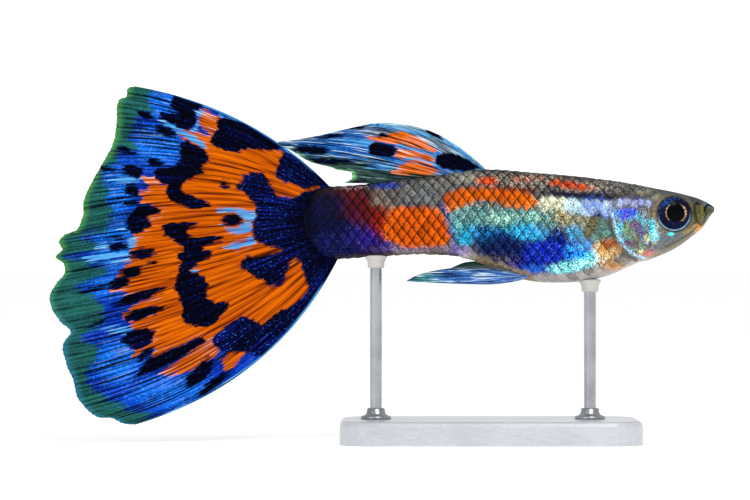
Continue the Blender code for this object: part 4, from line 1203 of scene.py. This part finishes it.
# Painted shapes of the tail seen from the side: black blots, navy areas, orange, pale
# strokes, brighter blue, and the teal rim. A black dab lies along the rays, which spread
# from the place of the fan.
TAIL_BLACK = [
    [
        (-25.75, 25.08), (-25.33, 25.25), (-24.83, 25.08), (-23.92, 24.50), (-23.50, 23.83),
        (-23.42, 23.58), (-24.00, 23.00), (-23.83, 22.58), (-24.25, 22.25), (-24.75, 22.00),
        (-25.33, 21.83), (-25.75, 21.42), (-25.75, 21.08), (-25.33, 20.75), (-24.42, 20.42),
        (-23.75, 20.08), (-23.17, 19.75), (-24.50, 19.50), (-25.33, 19.67), (-26.17, 20.00),
        (-26.75, 20.33), (-27.00, 20.83), (-26.83, 21.25), (-27.08, 21.67), (-27.67, 21.92),
        (-28.00, 22.42), (-27.83, 22.75), (-27.00, 22.92), (-26.17, 23.08), (-25.75, 23.58),
        (-25.83, 24.25),
    ],
    [
        (-26.17, 29.17), (-25.00, 28.50), (-23.83, 28.17), (-23.92, 27.83), (-24.75, 27.75),
        (-24.42, 27.08), (-24.42, 26.83), (-24.83, 26.25), (-25.33, 26.08), (-26.00, 26.33),
        (-26.67, 26.75), (-27.50, 27.08), (-27.42, 27.50), (-26.17, 27.25), (-25.75, 27.17),
        (-26.25, 27.58), (-26.67, 28.00), (-26.50, 28.58),
    ],
    [
        (-22.67, 27.00), (-21.83, 27.00), (-20.83, 26.83), (-19.83, 26.33), (-19.00, 25.75),
        (-18.00, 25.17), (-17.25, 24.50), (-18.33, 24.42), (-20.00, 24.50), (-21.00, 24.33),
        (-22.08, 24.33), (-22.83, 24.67), (-23.25, 25.17), (-23.00, 25.75), (-22.58, 26.25),
        (-22.75, 26.67),
    ],
    [
        (-27.25, 18.08), (-26.50, 18.33), (-25.50, 18.42), (-24.42, 18.25), (-24.67, 17.92),
        (-25.25, 17.67), (-25.00, 17.25), (-24.42, 17.08), (-23.58, 17.25), (-22.50, 17.25),
        (-22.17, 17.08), (-22.42, 16.83), (-23.17, 16.67), (-23.92, 16.33), (-23.92, 16.00),
        (-23.25, 15.92), (-23.00, 15.75), (-23.50, 15.42), (-24.25, 15.08), (-24.58, 14.75),
        (-25.00, 14.33), (-24.42, 14.17), (-23.92, 13.92), (-23.75, 13.42), (-23.33, 13.08),
        (-23.58, 12.58), (-23.67, 12.08), (-23.08, 11.75), (-22.17, 11.75), (-21.75, 11.58),
        (-22.08, 11.00), (-22.58, 10.50), (-23.00, 9.92), (-23.75, 9.75), (-24.75, 9.83),
        (-25.42, 10.08), (-25.67, 10.58), (-25.58, 11.33), (-25.92, 11.92), (-25.83, 12.50),
        (-26.33, 12.92), (-26.25, 13.50), (-26.00, 14.08), (-25.83, 14.58), (-25.67, 15.08),
        (-26.00, 15.50), (-25.58, 16.08), (-25.50, 16.33), (-26.00, 16.67), (-26.50, 17.00),
        (-27.25, 17.25), (-27.08, 17.58), (-27.42, 17.83),
    ],
    [
        (-29.92, 19.25), (-29.50, 19.67), (-28.67, 19.92), (-28.00, 19.83), (-27.42, 19.50),
        (-27.50, 19.25), (-28.33, 19.00), (-28.58, 18.67), (-28.17, 18.33), (-28.33, 18.00),
        (-28.92, 17.75), (-29.33, 17.42), (-29.92, 17.50), (-30.25, 17.92), (-30.33, 18.58),
    ],
    [
        (-30.58, 8.75), (-30.17, 9.17), (-29.50, 9.50), (-28.50, 9.50), (-27.92, 9.33),
        (-28.08, 8.75), (-28.58, 8.17), (-29.33, 7.75), (-30.00, 8.08), (-30.67, 8.33),
    ],
    [
        (-30.50, 10.58), (-29.67, 11.17), (-28.50, 11.33), (-27.67, 11.42), (-26.92, 11.42),
        (-27.25, 10.92), (-28.17, 10.58), (-29.33, 10.17), (-30.33, 10.08),
    ],
    [
        (-28.33, 7.17), (-27.08, 7.67), (-25.83, 8.08), (-24.58, 8.75), (-23.75, 8.83),
        (-23.67, 8.50), (-24.50, 8.00), (-25.33, 7.42), (-26.50, 6.67), (-27.67, 6.08),
        (-28.50, 5.75), (-29.58, 5.42), (-29.00, 6.25),
    ],
    (-28.67, 27.25, 0.67, 0.25), (-27.08, 26.00, 1.00, 0.42), (-27.92, 23.33, 0.67, 0.33),
    (-29.75, 22.62, 0.83, 0.50), (-29.79, 21.08, 0.58, 0.50), (-30.08, 20.08, 0.50, 0.15),
    (-31.29, 17.12, 0.88, 0.21), (-30.96, 16.38, 0.71, 0.29), (-28.96, 15.83, 0.96, 0.50),
    (-29.88, 14.29, 1.04, 0.46), (-30.92, 13.38, 1.00, 0.42), (-29.33, 12.17, 2.42, 0.42),
    (-28.75, 7.42, 0.92, 0.33), (-22.17, 21.58, 0.42, 0.25), (-21.50, 18.58, 0.83, 0.54),
    (-24.17, 5.83, 1.67, 0.58), (-28.21, 15.04, 0.42, 0.12), (-23.08, 4.92, 1.83, 0.29, 38),
    (-30.17, 24.25, 0.75, 0.25), (-31.83, 22.75, 0.75, 0.17), (-32.83, 12.92, 1.00, 0.17),
    (-32.50, 10.08, 1.00, 0.17),
]
TAIL_NAVY = [
    [
        (-11.67, 22.08), (-13.25, 21.54), (-14.17, 21.25), (-15.50, 20.92), (-15.83, 20.58),
        (-16.83, 20.33), (-17.83, 20.75), (-18.25, 21.50), (-18.67, 22.17), (-19.00, 22.58),
        (-19.83, 22.50), (-20.50, 22.33), (-20.58, 21.83), (-21.25, 21.33), (-20.33, 20.75),
        (-19.83, 20.25), (-19.50, 19.58), (-19.42, 19.00), (-19.75, 18.25), (-19.83, 17.50),
        (-19.42, 16.83), (-18.50, 16.42), (-17.25, 16.08), (-18.33, 15.75), (-19.33, 15.58),
        (-20.25, 15.58), (-20.75, 15.00), (-20.83, 14.58), (-20.00, 14.25), (-19.58, 13.83),
        (-18.83, 13.50), (-18.50, 13.00), (-17.50, 13.08), (-17.00, 13.67), (-16.83, 14.42),
        (-16.67, 15.08), (-16.17, 15.42), (-15.67, 14.92), (-15.58, 14.25), (-15.33, 13.50),
        (-15.08, 12.92), (-15.50, 12.17), (-16.67, 11.33), (-17.33, 11.08), (-18.17, 10.42),
        (-18.92, 9.83), (-19.67, 10.17), (-20.17, 10.42), (-20.58, 10.67), (-21.67, 10.08),
        (-22.75, 9.17), (-23.17, 8.58), (-23.00, 8.08), (-22.33, 7.75), (-21.50, 7.42),
        (-20.42, 7.67), (-19.33, 7.25), (-15.83, 9.42), (-11.67, 15.08),
    ],
    [
        (-17.25, 24.17), (-16.17, 23.92), (-14.58, 23.08), (-13.25, 21.62), (-14.25, 21.39),
        (-15.58, 21.12), (-16.17, 21.50), (-17.17, 21.75), (-17.83, 22.17), (-17.83, 22.75),
        (-17.50, 23.50),
    ],
]
TAIL_ORANGE = [
    [
        (-26.00, 26.17), (-25.00, 26.00), (-24.17, 25.75), (-23.33, 25.25), (-23.00, 24.75),
        (-22.33, 24.42), (-21.00, 24.25), (-20.00, 24.50), (-19.00, 24.42), (-17.92, 24.33),
        (-17.33, 24.08), (-17.42, 23.58), (-17.83, 22.75), (-17.83, 22.17), (-17.17, 21.75),
        (-16.00, 21.42), (-15.50, 21.08), (-15.67, 20.75), (-16.67, 20.50), (-17.75, 20.75),
        (-15.83, 17.75), (-15.83, 15.25), (-15.00, 12.92), (-16.50, 11.42), (-18.92, 9.83),
        (-20.58, 10.67), (-22.75, 9.17), (-23.17, 8.58), (-22.67, 7.92), (-22.92, 7.42),
        (-23.50, 6.92), (-24.50, 6.42), (-25.33, 6.08), (-26.67, 5.75), (-27.50, 5.75),
        (-26.25, 6.58), (-25.00, 7.42), (-24.33, 8.08), (-23.75, 8.58), (-24.17, 8.92),
        (-25.00, 8.75), (-26.25, 8.08), (-27.50, 7.42), (-28.08, 7.17), (-27.83, 7.75),
        (-27.92, 8.17), (-28.67, 7.83), (-28.75, 8.08), (-28.17, 8.58), (-27.83, 9.25),
        (-28.33, 9.50), (-29.17, 9.58), (-29.92, 9.50), (-30.00, 9.75), (-29.00, 10.17),
        (-27.92, 10.50), (-27.50, 11.08), (-28.33, 11.17), (-29.58, 10.67), (-30.50, 10.42),
        (-30.25, 10.92), (-29.58, 11.33), (-28.67, 11.75), (-27.67, 12.17), (-28.33, 12.50),
        (-29.58, 12.42), (-30.50, 12.58), (-31.42, 12.67), (-31.00, 13.00), (-30.17, 13.33),
        (-29.67, 13.92), (-30.33, 13.75), (-30.92, 13.83), (-30.50, 14.42), (-29.67, 15.00),
        (-30.50, 15.08), (-29.75, 15.58), (-29.75, 16.25), (-29.83, 16.83), (-29.50, 17.33),
        (-28.67, 17.83), (-28.08, 18.33), (-28.58, 18.75), (-28.17, 19.08), (-27.50, 19.17),
        (-27.33, 19.50), (-28.33, 20.00), (-28.75, 20.08), (-29.08, 20.42), (-28.92, 20.92),
        (-28.42, 21.25), (-28.58, 21.67), (-28.92, 22.00), (-28.17, 22.00), (-27.50, 21.67),
        (-27.00, 21.33), (-26.50, 21.92), (-25.42, 22.92), (-24.58, 24.42), (-25.00, 25.08),
        (-25.58, 25.50),
    ],
    [
        (-16.00, 21.25), (-15.17, 21.38), (-14.33, 21.50), (-14.17, 21.33), (-14.83, 21.04),
        (-15.67, 20.83),
    ],
    [
        (-24.25, 27.67), (-23.58, 27.75), (-23.00, 27.33), (-22.58, 26.92), (-22.75, 26.25),
        (-23.08, 25.67), (-23.67, 26.00), (-24.25, 26.42), (-24.17, 27.08),
    ],
    [
        (-22.42, 6.92), (-21.83, 7.50), (-20.83, 7.75), (-20.33, 7.75), (-21.00, 6.92),
        (-22.00, 6.25),
    ],
    [(-29.92, 7.17), (-29.42, 7.67), (-29.00, 7.75), (-29.33, 7.42)],
]
TAIL_PALE = [
    [
        (-22.83, 19.50), (-22.08, 19.67), (-21.00, 19.50), (-20.17, 19.33), (-19.42, 19.17),
        (-19.33, 18.58), (-19.83, 18.42), (-20.83, 18.75), (-21.17, 19.17), (-22.00, 19.25),
        (-22.67, 19.17),
    ],
    [
        (-22.42, 18.25), (-21.83, 17.92), (-21.00, 18.00), (-20.75, 18.42), (-19.83, 18.33),
        (-19.83, 17.58), (-20.83, 17.42), (-22.00, 17.75),
    ],
    [
        (-22.17, 16.33), (-21.50, 16.67), (-20.42, 16.92), (-19.83, 17.33), (-19.42, 16.83),
        (-20.00, 16.42), (-21.00, 16.17), (-21.83, 16.08),
    ],
    [
        (-24.75, 27.92), (-24.17, 27.83), (-23.83, 27.58), (-24.25, 27.08), (-24.17, 26.33),
        (-24.58, 26.00), (-25.00, 26.00), (-24.58, 26.58), (-24.50, 27.17),
    ],
    [
        (-27.58, 26.92), (-26.67, 26.83), (-25.42, 26.08), (-24.33, 25.33), (-23.58, 24.67),
        (-23.92, 24.50), (-25.00, 25.17), (-26.25, 26.00), (-27.17, 26.42),
    ],
    (0.25, [(-23.92, 28.17), (-23.00, 27.92), (-22.00, 27.42), (-20.83, 26.75)]),
    (-24.75, 14.33, 0.42, 0.21), (-30.42, 9.33, 1.17, 0.25), (-29.83, 16.75, 0.33, 0.42, 0),
    (0.09, [(-33.83, 15.42), (-32.17, 15.50), (-30.17, 15.75)]),
    (0.08, [(-33.17, 15.00), (-31.67, 15.17), (-30.00, 15.33)]),
    (0.08, [(-32.83, 16.25), (-31.50, 16.42), (-30.17, 16.42)]),
    (0.07, [(-30.83, 17.92), (-29.67, 17.58)]),
    (-30.33, 21.92, 1.00, 0.33, 0),
]
TAIL_BRIGHT = [
    (-27.33, 28.33, 1.33, 1.17, 0), (-27.67, 24.75, 2.00, 1.50, 0),
    (-31.17, 21.08, 1.33, 2.00, 0), (-31.17, 16.58, 1.67, 2.00, 0),
    (-32.17, 13.25, 1.50, 0.83, 0), (-26.17, 4.25, 3.33, 1.17, 0), (-31.00, 6.75, 1.83, 1.67, 0),
]
TAIL_TEAL = [
    [
        (-26.83, 31.92), (-27.50, 29.75), (-28.33, 29.08), (-28.50, 28.42), (-28.17, 27.75),
        (-29.17, 27.42), (-29.50, 26.75), (-29.50, 26.08), (-30.00, 25.25), (-29.50, 24.67),
        (-30.67, 24.17), (-31.17, 23.58), (-31.50, 23.08), (-32.17, 22.58), (-32.25, 21.75),
        (-31.67, 21.08), (-32.00, 20.42), (-31.50, 19.75), (-31.33, 19.08), (-31.50, 18.42),
        (-32.00, 17.75), (-33.83, 17.50), (-34.17, 17.08), (-32.67, 16.58), (-32.33, 16.08),
        (-34.17, 15.83), (-35.33, 15.50), (-33.33, 15.08), (-31.83, 14.58), (-32.17, 14.00),
        (-33.50, 13.58), (-34.50, 13.08), (-33.67, 12.58), (-32.83, 11.92), (-32.17, 11.08),
        (-32.00, 10.25), (-33.17, 9.42), (-34.50, 8.83), (-32.83, 8.25), (-32.67, 7.58),
        (-32.83, 6.75), (-33.50, 5.92), (-33.50, 5.08), (-32.50, 4.08), (-31.50, 3.42),
        (-30.50, 2.92), (-28.83, 2.42), (-26.67, 2.17), (-26.67, 0.25), (-40.83, 0.25),
        (-40.83, 31.92),
    ],
]


def all_over(x, tone):
    """A field of one tone."""
    return np.tile(tone[:3], x.shape + (1,))


def along_rays(shape):
    """The lean of a dab that lies along the tail's rays; an outline has none."""
    if isinstance(shape, list):
        return 0.0
    return math.atan2(shape[1] - FAN_Z, shape[0] - FAN_X) + math.pi


def tail_marks(u, v, x, z):
    """The tail's fields: distances in millimetres inside its painted shapes."""
    wx = x + 0.07 * rough(x, z, 0.8, 21)
    wz = z + 0.07 * rough(x, z, 0.8, 22)
    black = np.max([in_shape(wx, wz, shape, along_rays(shape)) for shape in TAIL_BLACK], axis=0)
    upper = np.minimum(0.22 - np.hypot(x - x[:1], z - z[:1]), 4 * np.minimum(v - 0.10, 0.80 - v))
    lower = np.minimum(0.30 - np.hypot(x - x[-1:], z - z[-1:]), 4 * np.minimum(v - 0.12, 0.85 - v))
    strips = np.maximum(upper, lower)
    black = np.minimum(black, -strips)
    navy = np.minimum(max_of(wx, wz, TAIL_NAVY), -strips)
    orange = max_of(wx, wz, TAIL_ORANGE)
    pale = np.maximum(max_of(wx, wz, TAIL_PALE), strips)
    bright = max_of(wx, wz, TAIL_BRIGHT)
    teal = max_of(wx, wz, TAIL_TEAL)
    from_edge = (1 - v) * np.hypot(*(a - b for a, b in zip(edge_of_tail(u), root_of_tail(u))))
    colour = all_over(x, seen(4, 56, 196))
    lay(colour, seen(14, 118, 250), ease(-1.0, 0.9, bright))
    lay(colour, seen(10, 30, 110), 0.5 * ease(0.0, 1.0, rough(x, z, 1.6, 24)))
    shore = np.clip(from_edge / 1.6, 0, 1)
    lines = (0.15 + 0.75 * ease(-0.2, 0.3, navy)) * (0.25 + 0.75 * ease(0.03, 0.14, v))
    orange = orange + 0.22 * ease(-0.35, -0.10, np.maximum(black, navy))
    frame_white = np.maximum(
        ease(0.0, 0.8, in_dab(x, z, (-23.5, 26.6, 1.4, 1.6))),
        0.5 * ease(-0.2, 0.6, in_dab(x, z, (-23.6, 7.6, 2.4, 1.6))),
    )
    whites = 0.7 * np.maximum(frame_white, 0.75 * ease(0.5, 0.1, orange) * ease(-25.5, -28.0, x))
    fields = {
        "dark": np.maximum(black, navy), "orange": orange, "pale": pale, "teal": teal,
        "shore": shore, "lines": lines, "green": ease(0.75, 0.45, u), "whites": whites,
        "shine": 0.35 + 0.65 * ease(-1.0, 0.6, bright), "silver": 0.04 + 0.16 * ease(-0.6, 0.8, bright),
    }
    return fields, colour


edge_of_tail = path_through(TAIL_MARGIN)


def root_of_tail(u):
    """The tail's root, round the rounded end of the stem."""
    turn = np.radians(TAIL_ROOT_TURN[0] + (TAIL_ROOT_TURN[1] - TAIL_ROOT_TURN[0]) * u)
    return hypural_point(turn, FIN_GAP)


def tail_sway(u, v, x):
    """The tail's folds: how far it stands off the middle, to either side."""
    waves = 0.55 * np.sin(2 * np.pi * (2.1 * u + 0.1)) + 0.3 * np.sin(2 * np.pi * (4.6 * u + 0.35))
    folds = 0.35 * np.exp(-(((u - 0.685) / 0.03) ** 2)) - 0.45 * np.exp(-(((u - 0.47) / 0.035) ** 2))
    return (waves + folds) * v**1.6


tail_shape = (root_of_tail, edge_of_tail, TAIL_RAY_TURN, TAIL_RAY_REACH)
fin_piece(
    "tail_web", "tail_fin", 440, 100, tail_shape, tail_sway, TAIL_RAYS, TAIL_FORKS,
    (0.42, 0.22, 0.10), tail_marks, fin_look("painted_tail", 84, 0.95), 0.004, 0.045,
)


# Dorsal fin: the same web on nine forked rays, swept back and leaning off the middle at
# its tip, cast in tinted resin, painted along its rays and glued in the back by its root.
DORSAL_MARGIN = [
    (-8.80, 26.50), (-10.50, 26.46), (-12.50, 26.02), (-14.60, 25.50), (-16.60, 25.18),
    (-17.75, 24.98), (-16.60, 24.35), (-15.20, 23.50), (-13.20, 22.95), (-11.55, 22.48),
    (-11.50, 22.12), (-12.20, 21.66),
]
# The solid's root stands a gap above the back. This one is sunk in it, so that its rays
# start at slants of their own.
DORSAL_SUNK_ROOT = [
    (-0.05, 22.50), (-1.35, 22.27), (-2.55, 22.13), (-3.95, 21.95), (-5.15, 21.80),
]
DORSAL_RAY_TURN, DORSAL_RAY_REACH, DORSAL_RAYS = (46, -4), (0.65, 0.45), 9
# Painted shapes of the dorsal fin seen from the side.
DORSAL_BLACK = [
    [
        (-4.42, 23.92), (-3.58, 24.17), (-2.58, 24.00), (-1.50, 23.42), (-0.83, 22.83),
        (-2.00, 22.67), (-3.17, 22.75), (-4.08, 23.00), (-4.58, 23.42),
    ],
    [
        (-10.08, 24.75), (-9.50, 25.00), (-8.17, 24.75), (-7.75, 24.33), (-8.17, 23.92),
        (-9.00, 23.83), (-10.00, 24.00),
    ],
    (-14.83, 24.42, 1.50, 0.33, -4), (-4.67, 25.75, 0.75, 0.25, -28),
    (-11.17, 26.25, 0.67, 0.12, 4), (-13.17, 25.50, 1.17, 0.17, 8),
    (-13.58, 23.50, 1.67, 0.21, -3), (-8.83, 25.58, 0.58, 0.17, -4),
]
DORSAL_ORANGE = [
    [
        (-10.33, 25.42), (-9.17, 25.50), (-8.17, 25.83), (-7.17, 25.96), (-6.33, 25.58),
        (-5.50, 25.17), (-4.83, 24.67), (-4.42, 24.25), (-5.17, 24.29), (-6.17, 24.46),
        (-7.17, 24.62), (-8.17, 24.92), (-9.33, 25.12),
    ],
    [
        (-7.67, 24.42), (-6.50, 24.46), (-5.50, 24.25), (-4.83, 23.92), (-4.42, 23.50),
        (-4.83, 23.08), (-6.17, 23.17), (-7.17, 23.50), (-7.92, 23.92),
    ],
    [
        (-8.25, 22.58), (-7.58, 23.08), (-6.83, 23.38), (-5.33, 23.17), (-4.67, 23.00),
        (-4.25, 22.62), (-5.17, 22.38), (-6.50, 22.38), (-7.67, 22.42),
    ],
]
DORSAL_PALE = [
    (0.16, [(-13.67, 25.25), (-11.67, 25.17), (-9.83, 24.83)]),
    (0.14, [(-10.83, 26.58), (-7.50, 26.25), (-4.17, 25.42), (-2.33, 24.25), (-0.67, 22.83)]),
    (0.12, [(-7.50, 24.83), (-5.42, 24.25), (-4.17, 23.58)]),
    (0.10, [(-7.83, 23.58), (-6.17, 23.67), (-4.17, 23.17)]),
    (-9.17, 23.00, 1.17, 0.17, -3),
]


def dorsal_marks(u, v, x, z):
    """The dorsal fin's fields and its colour."""
    wx = x + 0.10 * rough(x, z, 0.8, 31)
    wz = z + 0.06 * rough(x, z, 0.8, 32)
    dark = max_of(wx, wz, DORSAL_BLACK)
    orange = max_of(wx, wz, DORSAL_ORANGE)
    pale = max_of(wx, wz, DORSAL_PALE)
    colour = all_over(x, seen(26, 98, 190))
    lay(colour, seen(120, 160, 180), 0.8 * ease(0.30, 0.05, u))
    lay(colour, seen(176, 222, 240), 0.9 * ease(0.13, 0.03, u))
    lay(colour, seen(150, 132, 96), 0.8 * ease(0.0, 0.6, in_dab(x, z, (-8.6, 25.7, 4.2, 0.55, -8))))
    lay(colour, seen(54, 84, 78), ease(0.55, 0.70, u + 0.04 * rough(x, z, 1.0, 33)))
    lay(colour, seen(30, 40, 44), 0.7 * ease(0.70, 0.85, u) * ease(0.75, 0.45, v))
    lay(colour, seen(22, 40, 78), 0.75 * ease(-14.0, -16.5, x))
    lay(colour, seen(120, 108, 84), 0.6 * ease(0.0, 0.5, in_dab(x, z, (-3.6, 24.4, 1.6, 0.5, -40))))
    lay(colour, seen(96, 92, 80), 0.6 * ease(-0.1, 0.4, in_dab(x, z, (-4.6, 25.1, 1.7, 0.5, -34))))
    lay(colour, seen(110, 186, 120), ease(0.93, 0.985, v) * ease(0.5, 0.7, u))
    shine = 0.8 * ease(0.75, 0.55, u) + 0.15
    fields = {"dark": dark, "orange": orange, "pale": pale, "shine": shine}
    middle_band = ease(-0.4, 0.2, in_dab(x, z, (-6.2, 24.1, 2.4, 0.55, -16)))
    fields.update(whites=0.3 + 0.68 * middle_band, lines=0.12 + 0 * u, silver=0.95 * shine)
    return fields, colour


def dorsal_sway(u, v, x):
    """A light wave, and the lean of the fin's tip to the right."""
    return 0.22 * np.sin(2 * np.pi * 1.6 * u) * v - 1.25 * ease(-8.0, -15.5, x)


fin_piece(
    "dorsal_web", "dorsal_fin", 200, 100,
    (path_through(DORSAL_SUNK_ROOT), path_through(DORSAL_MARGIN), DORSAL_RAY_TURN, DORSAL_RAY_REACH),
    dorsal_sway, DORSAL_RAYS, ((0.30, 0.42), (0.60, 0.75)), (0.34, 0.18, 0.14), dorsal_marks,
    fin_look("painted_dorsal", 27, 0.6, 0.0, (250, 120, 4)), 0.006,
)


# Pectoral fins: small fans of clear resin behind the gill covers, on thin grey rays, held
# back close to the flank and glued in by their roots.
PECTORAL_ROOT = [(9.72, 18.45), (9.62, 17.95), (9.42, 17.45)]
PECTORAL_MARGIN = [(6.20, 19.10), (5.75, 18.20), (5.95, 17.10), (6.70, 16.20), (7.60, 15.80)]
PECTORAL_SINK = 0.15


def pectoral_marks(u, v, x, z):
    """Grey rays, olive at their roots."""
    colour = all_over(x, seen(150, 150, 128))
    lay(colour, seen(112, 102, 54), ease(0.35, 0.05, v))
    return {"shine": 0.2 + 0 * u}, colour


def pectoral_sway(side):
    """How far out a pectoral fin stands: its root sunk in the skin, its web clear of it."""

    def sway(u, v, x):
        root_x, root_z = path_through(PECTORAL_ROOT)(u)
        away = side_y(root_x, root_z) + FIN_GAP + 0.25 + 0.42 * (root_x - x)
        away = away + 0.12 * np.sin(np.pi * v)
        return side * (away - 0.55 * ease(0.3, 0.0, v))

    return sway


clear_look = fin_look("clear_fin", 24, 0.2, 0.96)
pectoral_root = path_through([(x + PECTORAL_SINK, z) for x, z in PECTORAL_ROOT])
for name, side in (("pectoral_web_right", -1), ("pectoral_web_left", 1)):
    fin_piece(
        name, name.replace("web", "fin"), 90, 40,
        (pectoral_root, path_through(PECTORAL_MARGIN), (14, -42), (0.5, 0.5)), pectoral_sway(side),
        8, ((0.35, 0.5), (0.65, 0.8)), (0.20, 0.07, 0.08), pectoral_marks, clear_look, 0.01,
    )


# Pelvic fins: two long slim lobes side by side under the belly, cast in tinted resin,
# painted blue with white along their rays, and glued in by their roots.
PELVIC_ROOT = [(2.55, 13.58), (2.85, 13.46), (3.15, 13.36)]
PELVIC_MARGIN = [
    (-2.90, 14.62), (-4.30, 14.42), (-5.60, 14.15), (-6.45, 13.85), (-7.00, 13.56),
    (-5.20, 13.68),
]
PELVIC_SINK_X, PELVIC_SINK_Z = 0.1, 0.5


def pelvic_marks(u, v, x, z):
    """Blue, olive along the front edge and teal toward the tip."""
    colour = all_over(x, seen(66, 116, 196))
    lay(colour, seen(120, 160, 220), 0.5 * ease(0.3, 0.0, v))
    lay(colour, seen(96, 92, 60), 0.9 * ease(0.34, 0.16, u) * ease(-4.2, -2.8, x))
    lay(colour, seen(60, 130, 130), ease(-3.4, -5.6, x))
    return {"shine": 1.0 + 0 * u, "silver": 0.9 * ease(0.1, 0.4, u)}, colour


def pelvic_sway(side):
    """How far out a pelvic fin stands: a little more toward its tip."""

    def sway(u, v, x):
        return side * (0.92 + 0.06 * (3.15 - x) - 0.15 * ease(0.2, 0.0, v))

    return sway


ventral_look = fin_look("painted_ventral", 9, 0.2)
pelvic_root = path_through([(x + PELVIC_SINK_X, z + PELVIC_SINK_Z) for x, z in PELVIC_ROOT])
for name, side in (("pelvic_web_right", -1), ("pelvic_web_left", 1)):
    fin_piece(
        name, name.replace("web", "fin"), 90, 60,
        (pelvic_root, path_through(PELVIC_MARGIN), (24, -24), (0.5, 0.35)), pelvic_sway(side),
        6, ((0.3, 0.45), (0.6, 0.75)), (0.26, 0.14, 0.10), pelvic_marks, ventral_look, 0.012,
    )


# Anal fin of a male: one fin drawn out into a slim pointed lobe on the middle line, cast in
# tinted resin, painted olive-green with brown rays, and glued in by its root.
ANAL_ROOT = [(0.75, 13.98), (1.25, 13.76), (1.85, 13.50)]
ANAL_MARGIN = [(-2.20, 15.00), (-2.75, 14.80), (-3.35, 14.45), (-3.10, 14.20)]
ANAL_SINK_X, ANAL_SINK_Z = 0.1, 0.55


def anal_marks(u, v, x, z):
    """Olive-green, browner toward the hind rays."""
    colour = all_over(x, seen(62, 112, 88))
    lay(colour, seen(104, 78, 40), 0.8 * ease(0.45, 0.75, u))
    return {"shine": 0.5 + 0 * u}, colour


def anal_sway(u, v, x):
    """A light cup to one side."""
    return 0.1 * np.sin(np.pi * v) * np.sin(np.pi * (0.15 + 0.7 * u))


anal_root = path_through([(x + ANAL_SINK_X, z + ANAL_SINK_Z) for x, z in ANAL_ROOT])
fin_piece(
    "anal_web", "anal_fin", 60, 60,
    (anal_root, path_through(ANAL_MARGIN), (34, 12), (0.5, 0.5)),
    anal_sway, 4, ((0.3, 0.45), (0.6, 0.75)), (0.26, 0.14, 0.10), anal_marks,
    fin_look("painted_anal", 8, 0.2), 0.012,
)


# Studio: a wide white floor that glows a little, as a light table does, under a pale sky
# that is brightest at the horizon, with two soft lamps in front.
floor_look, w = new_material("white_floor")
speckle = w.noise(w.place(), 40.0, 3.0)
w.surface({
    "Base Color": speckle.mix((0.84, 0.84, 0.84, 1), (0.88, 0.88, 0.88, 1)),
    "Roughness": 0.6,
    "Specular IOR Level": 0.1,
    "Emission Color": (1.0, 1.0, 1.0, 1.0),
    "Emission Strength": 0.42,
})
FLOOR_RADIUS, FLOOR_SIDES = 3000.0, 96
angle = np.linspace(0, 2 * np.pi, FLOOR_SIDES, endpoint=False)
rim = np.stack([FLOOR_RADIUS * np.cos(angle), FLOOR_RADIUS * np.sin(angle), 0 * angle], -1)
floor = bpy.data.meshes.new("floor")
floor.from_pydata((rim * MM).tolist(), [], [list(range(FLOOR_SIDES))])
floor.materials.append(floor_look)
floor = bpy.data.objects.new("floor", floor)
bpy.context.scene.collection.objects.link(floor)

world = bpy.data.worlds.new("studio_sky")
world.use_nodes = True
sky = Value(world.node_tree)
direction = sky.node("ShaderNodeTexCoord", {}, {}, "Generated")
height = sky.node("ShaderNodeSeparateXYZ", {}, {0: direction}, 2).maths("ABSOLUTE")
sky.put(world.node_tree.nodes["Background"], {
    "Color": (1.0, 1.0, 1.0, 1.0),
    "Strength": height.ease(0.10, 0.30, 1.15, 0.62),
})
bpy.context.scene.world = world


def lamp(name, place, aim, width, watts):
    """A square soft lamp at a place in millimetres, facing another."""
    data = bpy.data.lights.new(name, "AREA")
    data.size, data.energy = width * MM, watts
    made = bpy.data.objects.new(name, data)
    bpy.context.scene.collection.objects.link(made)
    made.location = [v * MM for v in place]
    facing = np.array(aim, float) - np.array(place, float)
    made.rotation_mode = "QUATERNION"
    made.rotation_quaternion = Vector(facing).to_track_quat("-Z", "Y")


lamp("key_lamp", (90, -300, 360), (-8, 0, 16), 140, 0.75)
lamp("fill_lamp", (-260, -300, 160), (-12, 0, 16), 200, 0.30)


# Camera: level with the middle of the fish and square to its right side, as in the photo,
# whose picture takes in 62.5 mm at the fish.
CAMERA_DISTANCE, FRAME_WIDTH, SENSOR_WIDTH = 400.0, 62.5, 36.0
CAMERA_X, CAMERA_Z = -9.58, 16.08
camera = bpy.data.objects.new("camera", bpy.data.cameras.new("camera"))
bpy.context.scene.collection.objects.link(camera)
camera.location = (CAMERA_X * MM, -CAMERA_DISTANCE * MM, CAMERA_Z * MM)
camera.rotation_euler = (math.pi / 2, 0, 0)
camera.data.sensor_width = SENSOR_WIDTH
camera.data.lens = SENSOR_WIDTH * CAMERA_DISTANCE / FRAME_WIDTH
camera.data.clip_start, camera.data.clip_end = 10 * MM, 20000 * MM
bpy.context.scene.camera = camera
bpy.context.scene.view_settings.view_transform = "Standard"
